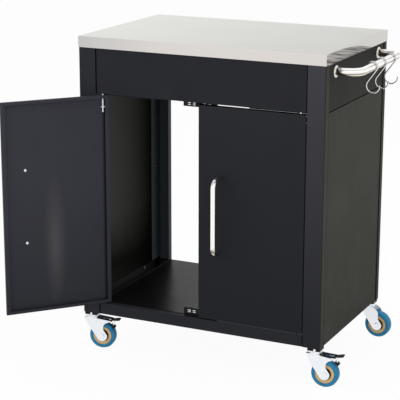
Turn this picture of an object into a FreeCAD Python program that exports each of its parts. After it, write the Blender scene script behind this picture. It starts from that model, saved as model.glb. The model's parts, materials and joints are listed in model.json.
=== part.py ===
import FreeCAD, Part
import math
import os

from FreeCAD import Vector

# Grill cart with a two-door cabinet, a folded steel worktop, a side handle with hooks and four casters.
# Millimetres, +Z up. It is drawn about the middle of the cabinet's footprint at floor level, front towards -Y,
# and moved at the end so that the origin is the middle of the bottom of the whole part's box.

# Overall sizes
total_height = 912.0
body_width = 730.0
body_depth = 482.0
caster_height = 110.0
apron_drop = 157.3

# Sheet thicknesses
worktop_sheet = 1.0
post_sheet = 2.0
apron_sheet = 1.2
panel_sheet = 1.0
door_sheet = 1.0

# Worktop
worktop_rim = 31.0
worktop_edge_radius = 2.0
worktop_play = 0.3
stiffener_width = 44.0
stiffener_depth = 18.0
stiffener_offset = 165.0

# Corner posts
post_front_face = 51.0
post_front_side = 26.0
post_rear_face = 43.0
post_rear_side = 20.0
post_rear_tongue = 59.0
tongue_screw_inset = 36.0
tongue_play = 1.0
post_return = 20.0
post_corner_radius = 2.5

# Aprons, rails, panels and shelf
apron_lip = 26.0
apron_top_lip = 20.0
apron_hem = 7.5
apron_hem_start = 139.0
post_headroom = 1.5
corner_play = 0.3
front_rail_height = 33.0
rear_rail_height = 29.0
rear_rail_lip = 15.0
panel_seam = 1.0
panel_flange = 15.0
side_rail_height = 36.0
side_rail_foot = 20.0
side_rail_sheet = 1.5
side_rail_screw_drop = 8.0
shelf_side_gap = 50.0
shelf_sheet = 1.0
shelf_upstand = 4.0
shelf_front_setback = 19.0

# Doors
door_thickness = 10.0
door_recess = 1.0
door_side_gap = 3.0
door_top_gap = 4.2
door_bottom_gap = 3.5
door_centre_gap = 3.0
door_side_lip = 11.5
door_end_lip = 9.0
door_edge_radius = 1.2
door_rest_angle = 131.5

# Door pivots
pivot_inset = 16.0
pivot_depth = 5.0
pin_radius = 2.5
pin_running_play = 0.05
pin_reach = 5.0
pin_tail = 14.0
spring_wire = 0.9
spring_turns = 11
spring_length = 29.0
spring_play = 0.35
ear_thickness = 2.0
ear_width = 7.0
ear_height = 30.0
ear_overhang = 4.0
collar_radius = 3.7
collar_stop_gap = 0.1
collar_thickness = 1.6
rivet_radius = 1.5
rivet_head_radius = 2.4
rivet_head_height = 0.8
rivet_play = 0.05
rivet_heights = (8.0, 26.0)
lower_pin_grip = 10.0
lower_foot_radius = 3.6

# Door handles
handle_pitch = 208.0
handle_tube = 16.0
handle_standoff = 49.0
handle_bend = 24.0
handle_from_pivot = 227.0
handle_centre_height = 452.0
screw_length = 12.0

# Small screws
screw_radius = 2.0
screw_hole_play = 0.1
screw_head_radius = 4.2
screw_head_height = 2.2

# Magnetic catches
catch_width = 96.0
catch_offset = -1.5
catch_height = 14.0
catch_depth = 17.0
catch_corner = 2.0
catch_contact_gap = 0.3
catch_plate_proud = 1.0
catch_plate_width = 10.5
catch_plate_height = 2.4
catch_plate_drops = (3.8, 8.7)
catch_plate_first = 15.0
catch_plate_pitch = 15.3
catch_plinth_height = 6.0
catch_plinth_setback = 3.0

# Side handle and hooks
bar_tube = 22.0
bar_wall = 1.5
bar_standoff = 62.0
bar_end_inset = 72.0
bar_bend = 36.0
bar_drop = 55.0
bar_plug = 12.0
rosette_radius = 16.5
rosette_thickness = 4.0
rosette_play = 0.05
bar_bolt_radius = 3.0
bar_bolt_head_radius = 5.5
bar_bolt_head_height = 4.0
hook_wire = 4.0
hook_play = 0.3
hook_drop = 52.0
hook_shift = 4.0
hook_lower_radius = 18.5
hook_tip_angle = 190.0
hook_end_angle = 12.0
hook_places = (-58.0, 16.0, 96.0)

# Casters
wheel_diameter = 77.0
tyre_width = 25.0
tyre_depth = 11.6
tyre_shoulder = 6.5
hub_face_width = 22.0
hub_recess_radius = 18.3
hub_guard_width = 17.0
hub_boss_radius = 9.0
hub_boss_play = 0.3
axle_radius = 4.0
axle_play = 0.05
axle_head_radius = 7.2
axle_head_height = 3.5
caster_trail = 29.5
caster_inset_x = 20.0
caster_inset_y = 20.0
fork_gap = 31.0
fork_sheet = 2.0
fork_roof = 2.5
fork_roof_height = 95.0
fork_front = 22.0
fork_back = 13.0
fork_foot_radius = 15.5
race_radius = 19.0
race_play = 0.3
kingpin_radius = 4.0
kingpin_head_radius = 7.0
kingpin_head_height = 2.5
mount_plate_thickness = 3.0
socket_length = 36.0
socket_width = 36.0
socket_pocket = 15.2
collar_span = 12.2
collar_height = 4.7
pinch_bolt_shift = 4.0
pinch_bolt_rise = 4.2
pinch_bolt_radius = 2.0
pinch_bolt_length = 9.0
pinch_head_span = 7.0
pinch_head_height = 2.0
stem_radius = 5.0
stem_play = 0.2
stem_above = 12.0
nut_radius = 9.0
nut_height = 8.0
corner_plate = 3.0
caster_angles = {
    "front_left": 12.5,
    "front_right": 5.0,
    "rear_left": 4.0,
    "rear_right": -1.5,
}

# Brake levers of the front casters
lever_pivot_x = 16.0
lever_pivot_z = 84.0
lever_pin_radius = 2.5
lever_pin_head = 1.5
lever_pin_head_radius = 3.6
lever_plate = 2.0
lever_width = 25.0
lever_start = 14.5
lever_end = 60.0
lever_start_rise = 9.4
lever_end_rise = 4.4
lever_cheek = 2.0
lever_cheek_depth = 4.2
lever_boss_radius = 5.5
lever_slot_start = 30.0
lever_slot_length = 24.0
lever_slot_width = 18.0
pedal_length = 22.0
pedal_width = 13.0
pedal_thickness = 4.5
pedal_rise = 4.5
shoe_gap = 3.5
shoe_thickness = 5.5
shoe_width = 15.0
shoe_angle = 44.0
shoe_spread = 9.0
strut_thickness = 3.0
lever_tilts = {
    "front_left": 2.5,
    "front_right": -2.5,
}

# Levels and planes that the pieces share
half_width = body_width / 2
half_depth = body_depth / 2
sheet_top = total_height - worktop_sheet
apron_bottom = total_height - apron_drop
apron_top = sheet_top - post_headroom
front_rail_top = caster_height + front_rail_height
rear_rail_top = caster_height + rear_rail_height
shelf_top = front_rail_top + shelf_sheet
inner_x = half_width - post_sheet
inner_y = half_depth - post_sheet
lining_x = inner_x - panel_sheet
opening_half = half_width - post_front_face
door_front = -half_depth + door_recess
door_back = door_front + door_thickness
door_edge = opening_half - door_side_gap
door_low = front_rail_top + door_bottom_gap
door_high = apron_bottom - door_top_gap
pivot_x = door_edge - pivot_inset
pivot_y = door_front + pivot_depth
bar_x = half_width + bar_standoff
bar_pitch = body_depth - 2 * bar_end_inset
bar_z = total_height - bar_drop
caster_x = half_width - caster_inset_x
caster_y = half_depth - caster_inset_y
shelf_width = body_width - 2 * shelf_side_gap
shelf_front = -inner_y + shelf_front_setback
shelf_back = inner_y - rear_rail_lip
wheel_radius = wheel_diameter / 2
fork_side = fork_gap / 2 + fork_sheet
roof_low = fork_roof_height - fork_roof
mount_plate_low = fork_roof_height + race_play + 3.7
socket_low = mount_plate_low + mount_plate_thickness
hook_upper_radius = bar_tube / 2 + hook_play + hook_wire / 2


def box(x0, x1, y0, y1, z0, z1):
    """Box between two corners, given in any order along each axis."""
    low = Vector(min(x0, x1), min(y0, y1), min(z0, z1))
    return Part.makeBox(abs(x1 - x0), abs(y1 - y0), abs(z1 - z0), low)


def rod(radius, start, end):
    """Round rod from one point to another."""
    span = end - start
    return Part.makeCylinder(radius, span.Length, start, span)


def joined(*solids):
    """One solid from several that touch or overlap."""
    result = solids[0]
    for solid in solids[1:]:
        result = result.fuse(solid)
    return result.removeSplitter()


def minus(solid, *tools):
    """The solid with each tool cut away."""
    for tool in tools:
        solid = solid.cut(tool)
    return solid


def rounded(solid, radius, picks):
    """Fillet the edges that the test picks."""
    edges = [edge for edge in solid.Edges if picks(edge)]
    return solid.makeFillet(radius, edges) if edges else solid


def upright(edge):
    """True for a straight edge along Z."""
    return isinstance(edge.Curve, Part.Line) and abs(edge.tangentAt(edge.FirstParameter).z) > 0.99


def mirrored_x(shape):
    """Mirror image across the YZ plane."""
    return shape.mirror(Vector(0, 0, 0), Vector(1, 0, 0))


def turned(shape, angle, place):
    """Turn about Z through the origin and move to the place."""
    copy = shape.copy()
    copy.rotate(Vector(0, 0, 0), Vector(0, 0, 1), angle)
    copy.translate(place)
    return copy


def prism_y(points, y0, y1):
    """Extrude an outline of (x, z) points from y0 to y1."""
    wire = Part.makePolygon([Vector(x, y0, z) for x, z in points + points[:1]])
    return Part.Face(wire).extrude(Vector(0, y1 - y0, 0))


def revolved_y(points):
    """Turn an outline of (radius, y) points about the Y axis."""
    wire = Part.makePolygon([Vector(radius, y, 0) for radius, y in points + points[:1]])
    return Part.Face(wire).revolve(Vector(0, 0, 0), Vector(0, 1, 0), 360)


def swept(radius, wire, start, direction):
    """Round section carried along a path."""
    circle = Part.Wire([Part.makeCircle(radius, start, direction)])
    pipe = Part.BRepOffsetAPI.MakePipeShell(wire)
    pipe.add(circle)
    pipe.build()
    pipe.makeSolid()
    return pipe.shape()


def screw(point, direction, length, radius, head_radius, head_height):
    """Pan-head screw whose head seats at the point and whose shank runs along the direction."""
    head = Part.makeCylinder(head_radius, head_height, point, direction * -1)
    head = rounded(head, head_height * 0.45, lambda edge: (edge.CenterOfMass - point).Length > head_height * 0.99
                   and (edge.CenterOfMass - point).Length < head_height * 1.01)
    return joined(head, Part.makeCylinder(radius, length, point, direction))


def small_screw(point, direction, length):
    """The screw that holds sheets to posts."""
    return screw(point, direction, length, screw_radius, screw_head_radius, screw_head_height)


def worktop():
    """Folded sheet that covers the cabinet like a shallow lid."""
    out_x = half_width + worktop_play + worktop_sheet
    out_y = half_depth + worktop_play + worktop_sheet
    low = total_height - worktop_rim
    outer = box(-out_x, out_x, -out_y, out_y, low, total_height)
    outer = rounded(outer, worktop_edge_radius, lambda edge: edge.CenterOfMass.z > low + 0.01)
    in_x = out_x - worktop_sheet
    in_y = out_y - worktop_sheet
    inner = box(-in_x, in_x, -in_y, in_y, low, sheet_top)
    inner_radius = max(worktop_edge_radius - worktop_sheet, 0.2)
    inner = rounded(inner, inner_radius, lambda edge: edge.CenterOfMass.z > low + 0.01)
    return outer.cut(inner)


def worktop_stiffeners():
    """Two channels under the sheet, from front to back."""
    reach = inner_y - apron_top_lip - 1.0
    channels = []
    for x in (-stiffener_offset, stiffener_offset):
        outer = box(x - stiffener_width / 2, x + stiffener_width / 2, -reach, reach,
                    sheet_top - stiffener_depth, sheet_top)
        inner = box(x - stiffener_width / 2 + panel_sheet, x + stiffener_width / 2 - panel_sheet,
                    -reach, reach, sheet_top - stiffener_depth, sheet_top - panel_sheet)
        channels.append(outer.cut(inner))
    return Part.makeCompound(channels)


def side_screw_heights():
    """Heights of the screws that hold a side panel to its posts."""
    low = rear_rail_top + 70
    high = apron_bottom - 70
    return [low, (low + high) / 2, high]


def apron_screw_heights():
    """Heights of the screws that hold an apron to its posts."""
    return [apron_bottom + 40, total_height - worktop_rim - 15]


def rail_screw_height(top):
    """Height of the screw at each end of a bottom rail."""
    return (caster_height + top) / 2 + 3


def post_screws():
    """Seat, direction and grip of every screw that holds a sheet to a post."""
    places = []
    for side in (-1, 1):
        face_x = side * (half_width - post_rear_face / 2)
        for height in side_screw_heights():
            places.append((Vector(side * lining_x, -inner_y + post_front_side / 2 + 2, height),
                           Vector(side, 0, 0), panel_sheet))
        for height in apron_screw_heights():
            for end in (-1, 1):
                places.append((Vector(side * (inner_x - apron_sheet), end * (inner_y - post_rear_side / 2), height),
                               Vector(side, 0, 0), apron_sheet))
                places.append((Vector(face_x, end * (inner_y - apron_sheet), height), Vector(0, end, 0),
                               apron_sheet))
        places.append((Vector(face_x, inner_y - apron_sheet, rail_screw_height(rear_rail_top)), Vector(0, 1, 0),
                       apron_sheet))
        places.append((Vector(face_x, -inner_y + apron_sheet, rail_screw_height(front_rail_top)),
                       Vector(0, -1, 0), apron_sheet))
    return places


def screw_holes():
    """Clearance holes for the post screws, through the sheet and the post's inner half."""
    radius = screw_radius + screw_hole_play
    return [rod(radius, place - along * 1, place + along * (grip + post_sheet * 0.75 + 0.2))
            for place, along, grip in post_screws()]


def side_rail_screws():
    """Seat and direction of the screws that hold the side rails to the panels."""
    height = caster_height + side_rail_height - side_rail_screw_drop
    inside = lining_x - side_rail_sheet
    return [(Vector(side * inside, y, height), Vector(side, 0, 0)) for side in (-1, 1) for y in (-130.0, 130.0)]


def side_rail_holes():
    """Clearance holes for those screws."""
    radius = screw_radius + screw_hole_play
    return [rod(radius, place - along * 1, place + along * (side_rail_sheet + panel_sheet * 0.9))
            for place, along in side_rail_screws()]


def tongue_screws():
    """Seat and direction of the screws through the rear posts' tongues into the side panels."""
    inside = lining_x - post_sheet
    return [(Vector(side * inside, half_depth - tongue_screw_inset, height), Vector(side, 0, 0))
            for side in (-1, 1) for height in side_screw_heights()]


def tongue_holes():
    """Clearance holes for those screws."""
    radius = screw_radius + screw_hole_play
    return [rod(radius, place - along * 1, place + along * (post_sheet + panel_sheet * 0.9))
            for place, along in tongue_screws()]


def frame_screws():
    """All the small screws of the frame, as separate solids."""
    screws = [small_screw(place, along, grip + post_sheet * 0.75) for place, along, grip in post_screws()]
    for place, along in tongue_screws():
        screws.append(small_screw(place, along, post_sheet + panel_sheet * 0.8))
    for place, along in side_rail_screws():
        screws.append(small_screw(place, along, side_rail_sheet + panel_sheet * 0.8))
    return Part.makeCompound(screws)


def post(side, end, face, flank, return_low, return_high):
    """Folded corner post: a face across the front or back, a flank along the side and a return."""
    x = side * half_width
    y = end * half_depth
    top = sheet_top - post_headroom
    solid = joined(
        box(x, x - side * face, y, y - end * post_sheet, caster_height, top),
        box(x, x - side * post_sheet, y, y - end * flank, caster_height, top),
        box(x - side * (face - post_sheet), x - side * face, y, y - end * post_return, return_low, return_high),
    )
    corner = Vector(x, y, 0)
    solid = rounded(solid, post_corner_radius,
                    lambda edge: upright(edge) and math.hypot(edge.CenterOfMass.x - corner.x,
                                                              edge.CenterOfMass.y - corner.y) < 0.1)
    return minus(solid, *screw_holes())


def front_post(side):
    return post(side, -1, post_front_face, post_front_side, shelf_top + 1, apron_bottom)


def rear_post(side):
    """Rear post, whose tongue holds the side panel against the flank."""
    low = caster_height + side_rail_height + tongue_play
    high = apron_bottom - panel_seam - panel_sheet - tongue_play
    tongue = box(side * lining_x, side * (lining_x - post_sheet), inner_y + post_sheet / 4,
                 half_depth - post_rear_tongue, low, high)
    body = post(side, 1, post_rear_face, post_rear_side, rear_rail_top, apron_bottom)
    return minus(joined(body, tongue), *tongue_holes())


def pin_hole(side, low, high):
    """Hole for a door pivot through a lip."""
    return rod(pin_radius + pin_running_play, Vector(side * pivot_x, pivot_y, low),
               Vector(side * pivot_x, pivot_y, high))


def cross_apron(end):
    """Front or back apron with a lip along its top and its bottom."""
    half = inner_x - apron_sheet - corner_play
    face = end * inner_y
    solid = joined(
        box(-half, half, face, face - end * apron_sheet, apron_bottom, apron_top),
        box(-half, half, face, face - end * apron_lip, apron_bottom, apron_bottom + apron_sheet),
        box(-half, half, face, face - end * apron_top_lip, apron_top - apron_sheet, apron_top),
    )
    return minus(solid, *screw_holes())


def front_apron():
    """Front apron, whose lip takes the door pivots and has a hem behind the top of each door."""
    back = -inner_y + apron_lip
    hems = [box(side * apron_hem_start, side * door_edge, back - apron_sheet, back,
                apron_bottom - apron_hem, apron_bottom) for side in (-1, 1)]
    holes = [pin_hole(side, apron_bottom - 1, apron_bottom + apron_sheet + 1) for side in (-1, 1)]
    return minus(joined(cross_apron(-1), *hems), *holes)


def side_apron(side):
    """Apron between the side's two posts."""
    half = inner_y - apron_sheet - corner_play
    lip_half = inner_y - apron_lip - corner_play
    face = side * inner_x
    solid = joined(
        box(face, face - side * apron_sheet, -half, half, apron_bottom, apron_top),
        box(face, face - side * panel_flange, -lip_half, lip_half, apron_bottom, apron_bottom + apron_sheet),
        box(face, face - side * panel_flange, -lip_half, lip_half, apron_top - apron_sheet, apron_top),
    )
    return minus(solid, *screw_holes())


def right_apron():
    """Side apron that carries the handle."""
    holes = [rod(bar_bolt_radius + screw_hole_play, Vector(inner_x - 10, y, bar_z), Vector(inner_x + 1, y, bar_z))
             for y in (-bar_pitch / 2, bar_pitch / 2)]
    return minus(side_apron(1), *holes)


def side_panel(side):
    """Lower side sheet with a flange along its top and its bottom."""
    half = inner_y - apron_sheet - corner_play
    flange_half = caster_y - socket_width / 2 - 1
    face = side * inner_x
    top = apron_bottom - panel_seam
    solid = joined(
        box(face, face - side * panel_sheet, -half, half, caster_height, top),
        box(face, face - side * panel_flange, -flange_half, flange_half, top - panel_sheet, top),
        box(face, face - side * panel_flange, -flange_half, flange_half, caster_height,
            caster_height + panel_sheet),
    )
    return minus(solid, *screw_holes(), *side_rail_holes(), *tongue_holes())


def bottom_rail(end, top, lip):
    """Rail across the front or back below the cabinet opening."""
    half = inner_x - panel_sheet - corner_play
    face = end * inner_y
    solid = joined(
        box(-half, half, face, face - end * apron_sheet, caster_height, top),
        box(-half, half, face, face - end * lip, top - apron_sheet, top),
    )
    return minus(solid, *screw_holes())


def front_bottom_rail():
    holes = [pin_hole(side, front_rail_top - apron_sheet - 1, front_rail_top + 1) for side in (-1, 1)]
    return minus(bottom_rail(-1, front_rail_top, apron_lip), *holes)


def rear_bottom_rail():
    return bottom_rail(1, rear_rail_top, rear_rail_lip)


def side_bottom_rails():
    """Angles inside the foot of each side panel."""
    half = caster_y - socket_width / 2 - 1
    low = caster_height + panel_sheet
    rails = []
    for side in (-1, 1):
        face = side * lining_x
        rail = joined(
            box(face, face - side * side_rail_sheet, -half, half, low, caster_height + side_rail_height),
            box(face, face - side * side_rail_foot, -half, half, low, low + side_rail_sheet),
        )
        rails.append(minus(rail, *side_rail_holes()))
    return Part.makeCompound(rails)


def bottom_shelf():
    """Shelf sheet with low upstands at its ends and a fold down at the back."""
    half = shelf_width / 2
    upstand_front = -half_depth + post_return + 8
    pieces = [
        box(-half, half, shelf_front, shelf_back, front_rail_top, shelf_top),
        box(-half, half, shelf_back, shelf_back - shelf_sheet, rear_rail_top, shelf_top),
        box(-half, half, shelf_back - 8, shelf_back - shelf_sheet, rear_rail_top, rear_rail_top + shelf_sheet),
    ]
    for side in (-1, 1):
        pieces.append(box(side * half, side * (half - shelf_sheet), upstand_front, shelf_back - 2,
                          shelf_top - shelf_sheet, shelf_top + shelf_upstand))
    return joined(*pieces)


def catch_box(setback, low, high):
    """Block of the catch's width, set back from its face."""
    front = door_back + catch_contact_gap + catch_plate_proud + setback
    back = door_back + catch_contact_gap + catch_plate_proud + catch_depth
    left = catch_offset - catch_width / 2
    return rounded(box(left, left + catch_width, front, back, low, high), catch_corner, upright)


def catch_housing(low):
    """Moulded block of a double magnetic catch."""
    return minus(catch_box(0, low, low + catch_height), *catch_pole_plates(low))


def catch_pole_plates(low):
    """Steel pole plates, in pairs one above the other, two pairs to each door."""
    front = door_back + catch_contact_gap
    back = front + catch_plate_proud + catch_depth * 0.7
    top = low + catch_height
    plates = []
    for distance in (catch_plate_first, catch_plate_first + catch_plate_pitch):
        for side in (-1, 1):
            left = catch_offset + side * distance - catch_plate_width / 2
            for drop in catch_plate_drops:
                plates.append(box(left, left + catch_plate_width, front, back,
                                  top - drop - catch_plate_height / 2, top - drop + catch_plate_height / 2))
    return plates


def lower_catch_low():
    return shelf_top + catch_plinth_height


def upper_catch_low():
    return apron_bottom - catch_height


def lower_catch():
    """Catch on a plinth at the front of the shelf."""
    plinth = catch_box(catch_plinth_setback, shelf_top, lower_catch_low())
    return joined(catch_housing(lower_catch_low()), plinth)


def upper_catch():
    """Catch under the front apron's lip."""
    return catch_housing(upper_catch_low())


def catch_plates():
    return Part.makeCompound(catch_pole_plates(lower_catch_low()) + catch_pole_plates(upper_catch_low()))


def corner_plates():
    """Steel plate at the foot of each post, which takes a caster's stem."""
    plates = []
    for side in (-1, 1):
        for end in (-1, 1):
            plate = box(side * (half_width - socket_length), side * lining_x,
                        end * (half_depth - socket_width), end * (inner_y - apron_sheet),
                        caster_height, caster_height + corner_plate)
            hole = rod(stem_radius + stem_play, Vector(side * caster_x, end * caster_y, caster_height - 1),
                       Vector(side * caster_x, end * caster_y, caster_height + corner_plate + 1))
            plates.append(plate.cut(hole))
    return Part.makeCompound(plates)


def caster_sockets():
    """Spacer block under each post, with a pocket for the stem's collar and a pinch bolt's bore."""
    sockets = []
    for side in (-1, 1):
        for end in (-1, 1):
            x = side * caster_x
            y = end * caster_y
            block = box(x - socket_length / 2, x + socket_length / 2, y - socket_width / 2, y + socket_width / 2,
                        socket_low, caster_height)
            block = rounded(block, 2.0, upright)
            pocket = rod(socket_pocket / 2, Vector(x, y, socket_low - 1),
                         Vector(x, y, socket_low + collar_height + 0.3))
            hole = rod(stem_radius + stem_play, Vector(x, y, socket_low - 1), Vector(x, y, caster_height + 1))
            sockets.append(minus(block, pocket, hole, pinch_bolt(x, y)))
    return Part.makeCompound(sockets)


def pinch_bolt(x, y):
    """Bolt in a spacer block's front face, beside the stem."""
    face = y - socket_width / 2
    centre = Vector(x + pinch_bolt_shift, face, socket_low + pinch_bolt_rise)
    shank = rod(pinch_bolt_radius, centre, centre + Vector(0, pinch_bolt_length, 0))
    head = rod(pinch_head_span / 2, centre - Vector(0, pinch_head_height, 0), centre)
    head = rounded(head, 0.8, lambda edge: edge.CenterOfMass.y < face - pinch_head_height + 0.01)
    return joined(shank, head)


def hexagon(corner_radius, x, y, low, height):
    """Hexagonal nut blank."""
    points = [Vector(x + corner_radius * math.cos(math.radians(60 * turn)),
                     y + corner_radius * math.sin(math.radians(60 * turn)), low) for turn in range(7)]
    return Part.Face(Part.makePolygon(points)).extrude(Vector(0, 0, height))


def caster_stems():
    """Fixed half of each caster: plate, threaded stem, kingpin, the two nuts and the pinch bolt."""
    solids = []
    for side in (-1, 1):
        for end in (-1, 1):
            x = side * caster_x
            y = end * caster_y
            plate = box(x - socket_length / 2, x + socket_length / 2, y - socket_width / 2, y + socket_width / 2,
                        mount_plate_low, socket_low)
            plate = rounded(plate, 3.0, upright)
            stem = rod(stem_radius, Vector(x, y, mount_plate_low),
                       Vector(x, y, caster_height + corner_plate + stem_above))
            kingpin = rod(kingpin_radius, Vector(x, y, roof_low - race_play - kingpin_head_height),
                          Vector(x, y, socket_low))
            head = rod(kingpin_head_radius, Vector(x, y, roof_low - race_play - kingpin_head_height),
                       Vector(x, y, roof_low - race_play))
            collar = hexagon(collar_span / 2, x, y, socket_low, collar_height)
            solids.append(joined(plate, stem, kingpin, head, collar))
            solids.append(pinch_bolt(x, y))
            nut_low = caster_height + corner_plate
            nut = hexagon(nut_radius, x, y, nut_low, nut_height)
            bore = rod(stem_radius + 0.05, Vector(x, y, nut_low - 1), Vector(x, y, nut_low + nut_height + 1))
            solids.append(nut.cut(bore))
    return Part.makeCompound(solids)


def bar_path():
    """Centre line of the side handle's tube, from the front rosette to the back one."""
    half = bar_pitch / 2
    slant = bar_bend * (1 - math.sqrt(0.5))
    front_leg = Part.LineSegment(Vector(inner_x, -half, bar_z), Vector(bar_x - bar_bend, -half, bar_z))
    front_arc = Part.Arc(Vector(bar_x - bar_bend, -half, bar_z), Vector(bar_x - slant, -half + slant, bar_z),
                         Vector(bar_x, -half + bar_bend, bar_z))
    bar = Part.LineSegment(Vector(bar_x, -half + bar_bend, bar_z), Vector(bar_x, half - bar_bend, bar_z))
    back_arc = Part.Arc(Vector(bar_x, half - bar_bend, bar_z), Vector(bar_x - slant, half - slant, bar_z),
                        Vector(bar_x - bar_bend, half, bar_z))
    back_leg = Part.LineSegment(Vector(bar_x - bar_bend, half, bar_z), Vector(inner_x, half, bar_z))
    return Part.Wire([curve.toShape() for curve in (front_leg, front_arc, bar, back_arc, back_leg)])


def side_handle():
    """Bent tube with a solid threaded plug at each end."""
    half = bar_pitch / 2
    start = Vector(inner_x, -half, bar_z)
    outer = swept(bar_tube / 2, bar_path(), start, Vector(1, 0, 0))
    inner = swept(bar_tube / 2 - bar_wall, bar_path(), start, Vector(1, 0, 0))
    plugs = [rod(bar_tube / 2 - bar_wall / 2, Vector(inner_x, y, bar_z), Vector(inner_x + bar_plug, y, bar_z))
             for y in (-half, half)]
    tube = joined(outer.cut(inner), *plugs)
    threads = [rod(bar_bolt_radius + screw_hole_play, Vector(inner_x - 1, y, bar_z),
                   Vector(inner_x + bar_plug + 1, y, bar_z)) for y in (-half, half)]
    return minus(tube, *threads)


def handle_rosettes():
    """Round cover over each foot of the side handle."""
    covers = []
    for y in (-bar_pitch / 2, bar_pitch / 2):
        cover = rod(rosette_radius, Vector(inner_x, y, bar_z), Vector(inner_x + rosette_thickness, y, bar_z))
        cover = rounded(cover, rosette_thickness * 0.6,
                        lambda edge: edge.CenterOfMass.x > inner_x + rosette_thickness - 0.1)
        bore = rod(bar_tube / 2 + rosette_play, Vector(inner_x - 1, y, bar_z),
                   Vector(inner_x + rosette_thickness + 1, y, bar_z))
        covers.append(cover.cut(bore))
    return Part.makeCompound(covers)


def handle_bolts():
    """Bolts through the apron into the side handle's ends."""
    return Part.makeCompound([
        screw(Vector(inner_x - apron_sheet, y, bar_z), Vector(1, 0, 0), apron_sheet + bar_plug * 0.8,
              bar_bolt_radius, bar_bolt_head_radius, bar_bolt_head_height)
        for y in (-bar_pitch / 2, bar_pitch / 2)])


def door_height():
    return door_high - door_low


def door_width():
    return door_edge - door_centre_gap / 2


def left_door_pan():
    """Closed left door: a shallow folded tray whose lip runs round its inner face."""
    x0 = -door_edge
    x1 = x0 + door_width()
    shell = box(x0, x1, door_front, door_back, door_low, door_high)
    shell = rounded(shell, door_edge_radius, lambda edge: edge.CenterOfMass.y < door_front + 0.01
                    or (upright(edge) and edge.CenterOfMass.y < door_front + 0.01))
    cavity = box(x0 + door_sheet, x1 - door_sheet, door_front + door_sheet, door_back - door_sheet,
                 door_low + door_sheet, door_high - door_sheet)
    mouth = box(x0 + door_side_lip, x1 - door_side_lip, door_front + door_sheet, door_back + 1,
                door_low + door_end_lip, door_high - door_end_lip)
    top_hole = rod(pin_radius + pin_running_play, Vector(-pivot_x, pivot_y, door_high - door_sheet - 1),
                   Vector(-pivot_x, pivot_y, door_high + 1))
    low_hole = rod(pin_radius, Vector(-pivot_x, pivot_y, door_low - 1),
                   Vector(-pivot_x, pivot_y, door_low + door_sheet + 1))
    screws = [rod(screw_radius + screw_hole_play, Vector(handle_x(), door_front - 1, z),
                  Vector(handle_x(), door_front + door_sheet + 1, z)) for z in handle_feet()]
    rivets = [rod(rivet_radius + rivet_play, Vector(x0 - 1, pivot_y, z), Vector(x0 + door_sheet + 1, pivot_y, z))
              for z in rivet_levels()]
    return minus(shell, cavity, mouth, top_hole, low_hole, *screws, *rivets)


def handle_x():
    """Across position of the left door's handle, door closed."""
    return -pivot_x + handle_from_pivot


def handle_feet():
    """Heights of a door handle's two feet."""
    return [handle_centre_height - handle_pitch / 2, handle_centre_height + handle_pitch / 2]


def left_door_handle():
    """Bow handle bent from round bar, with a tapped hole in each foot."""
    x = handle_x()
    low, high = handle_feet()
    out = door_front - handle_standoff
    slant = handle_bend * (1 - math.sqrt(0.5))
    curves = (
        Part.LineSegment(Vector(x, door_front, low), Vector(x, out + handle_bend, low)),
        Part.Arc(Vector(x, out + handle_bend, low), Vector(x, out + slant, low + slant),
                 Vector(x, out, low + handle_bend)),
        Part.LineSegment(Vector(x, out, low + handle_bend), Vector(x, out, high - handle_bend)),
        Part.Arc(Vector(x, out, high - handle_bend), Vector(x, out + slant, high - slant),
                 Vector(x, out + handle_bend, high)),
        Part.LineSegment(Vector(x, out + handle_bend, high), Vector(x, door_front, high)),
    )
    bow = swept(handle_tube / 2, Part.Wire([curve.toShape() for curve in curves]), Vector(x, door_front, low),
                Vector(0, -1, 0))
    taps = [rod(screw_radius + screw_hole_play, Vector(x, door_front + 1, z),
                Vector(x, door_front + door_sheet - screw_length - 1, z)) for z in (low, high)]
    return minus(bow, *taps)


def left_handle_screws():
    """Screws from inside the door into the handle's feet."""
    return Part.makeCompound([
        small_screw(Vector(handle_x(), door_front + door_sheet, z), Vector(0, -1, 0), screw_length)
        for z in handle_feet()])


def ear_top():
    """Upper face of the ear that the pivot spring stands on."""
    return door_high - door_sheet - collar_stop_gap - collar_thickness - spring_length


def rivet_levels():
    """Heights of the two rivets that hold the ear."""
    return [ear_top() + height for height in rivet_heights]


def left_hinge_fittings():
    """Ear of the upper pivot with its two rivets, and the fixed lower pivot."""
    wall = -door_edge + door_sheet
    top = ear_top()
    half = ear_width / 2
    plate = box(wall, wall + ear_thickness, pivot_y - half, pivot_y + half, top - ear_thickness, top + ear_height)
    ear = box(wall, -pivot_x + pin_radius + ear_overhang, pivot_y - half, pivot_y + half, top - ear_thickness, top)
    rivets = [rod(rivet_radius, Vector(-door_edge - 0.1, pivot_y, z), Vector(wall + ear_thickness, pivot_y, z))
              for z in rivet_levels()]
    heads = [rod(rivet_head_radius, Vector(-door_edge - rivet_head_height, pivot_y, z),
                 Vector(-door_edge, pivot_y, z)) for z in rivet_levels()]
    hole = rod(pin_radius + pin_running_play, Vector(-pivot_x, pivot_y, top - ear_thickness - 1),
               Vector(-pivot_x, pivot_y, top + 1))
    lug = minus(joined(plate, ear, *rivets, *heads), hole)
    foot_low = door_low + door_sheet
    foot = rod(lower_foot_radius, Vector(-pivot_x, pivot_y, foot_low),
               Vector(-pivot_x, pivot_y, foot_low + lower_pin_grip))
    pin = rod(pin_radius, Vector(-pivot_x, pivot_y, front_rail_top - pin_reach),
              Vector(-pivot_x, pivot_y, foot_low + lower_pin_grip))
    return Part.makeCompound([lug, joined(foot, pin)])


def left_upper_pin():
    """Sprung pivot: a round pin with a collar that the spring pushes up."""
    low = ear_top() - ear_thickness - pin_tail
    pin = rod(pin_radius, Vector(-pivot_x, pivot_y, low), Vector(-pivot_x, pivot_y, apron_bottom + pin_reach))
    collar_low = ear_top() + spring_length
    collar = rod(collar_radius, Vector(-pivot_x, pivot_y, collar_low),
                 Vector(-pivot_x, pivot_y, collar_low + collar_thickness))
    return joined(pin, collar)


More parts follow.
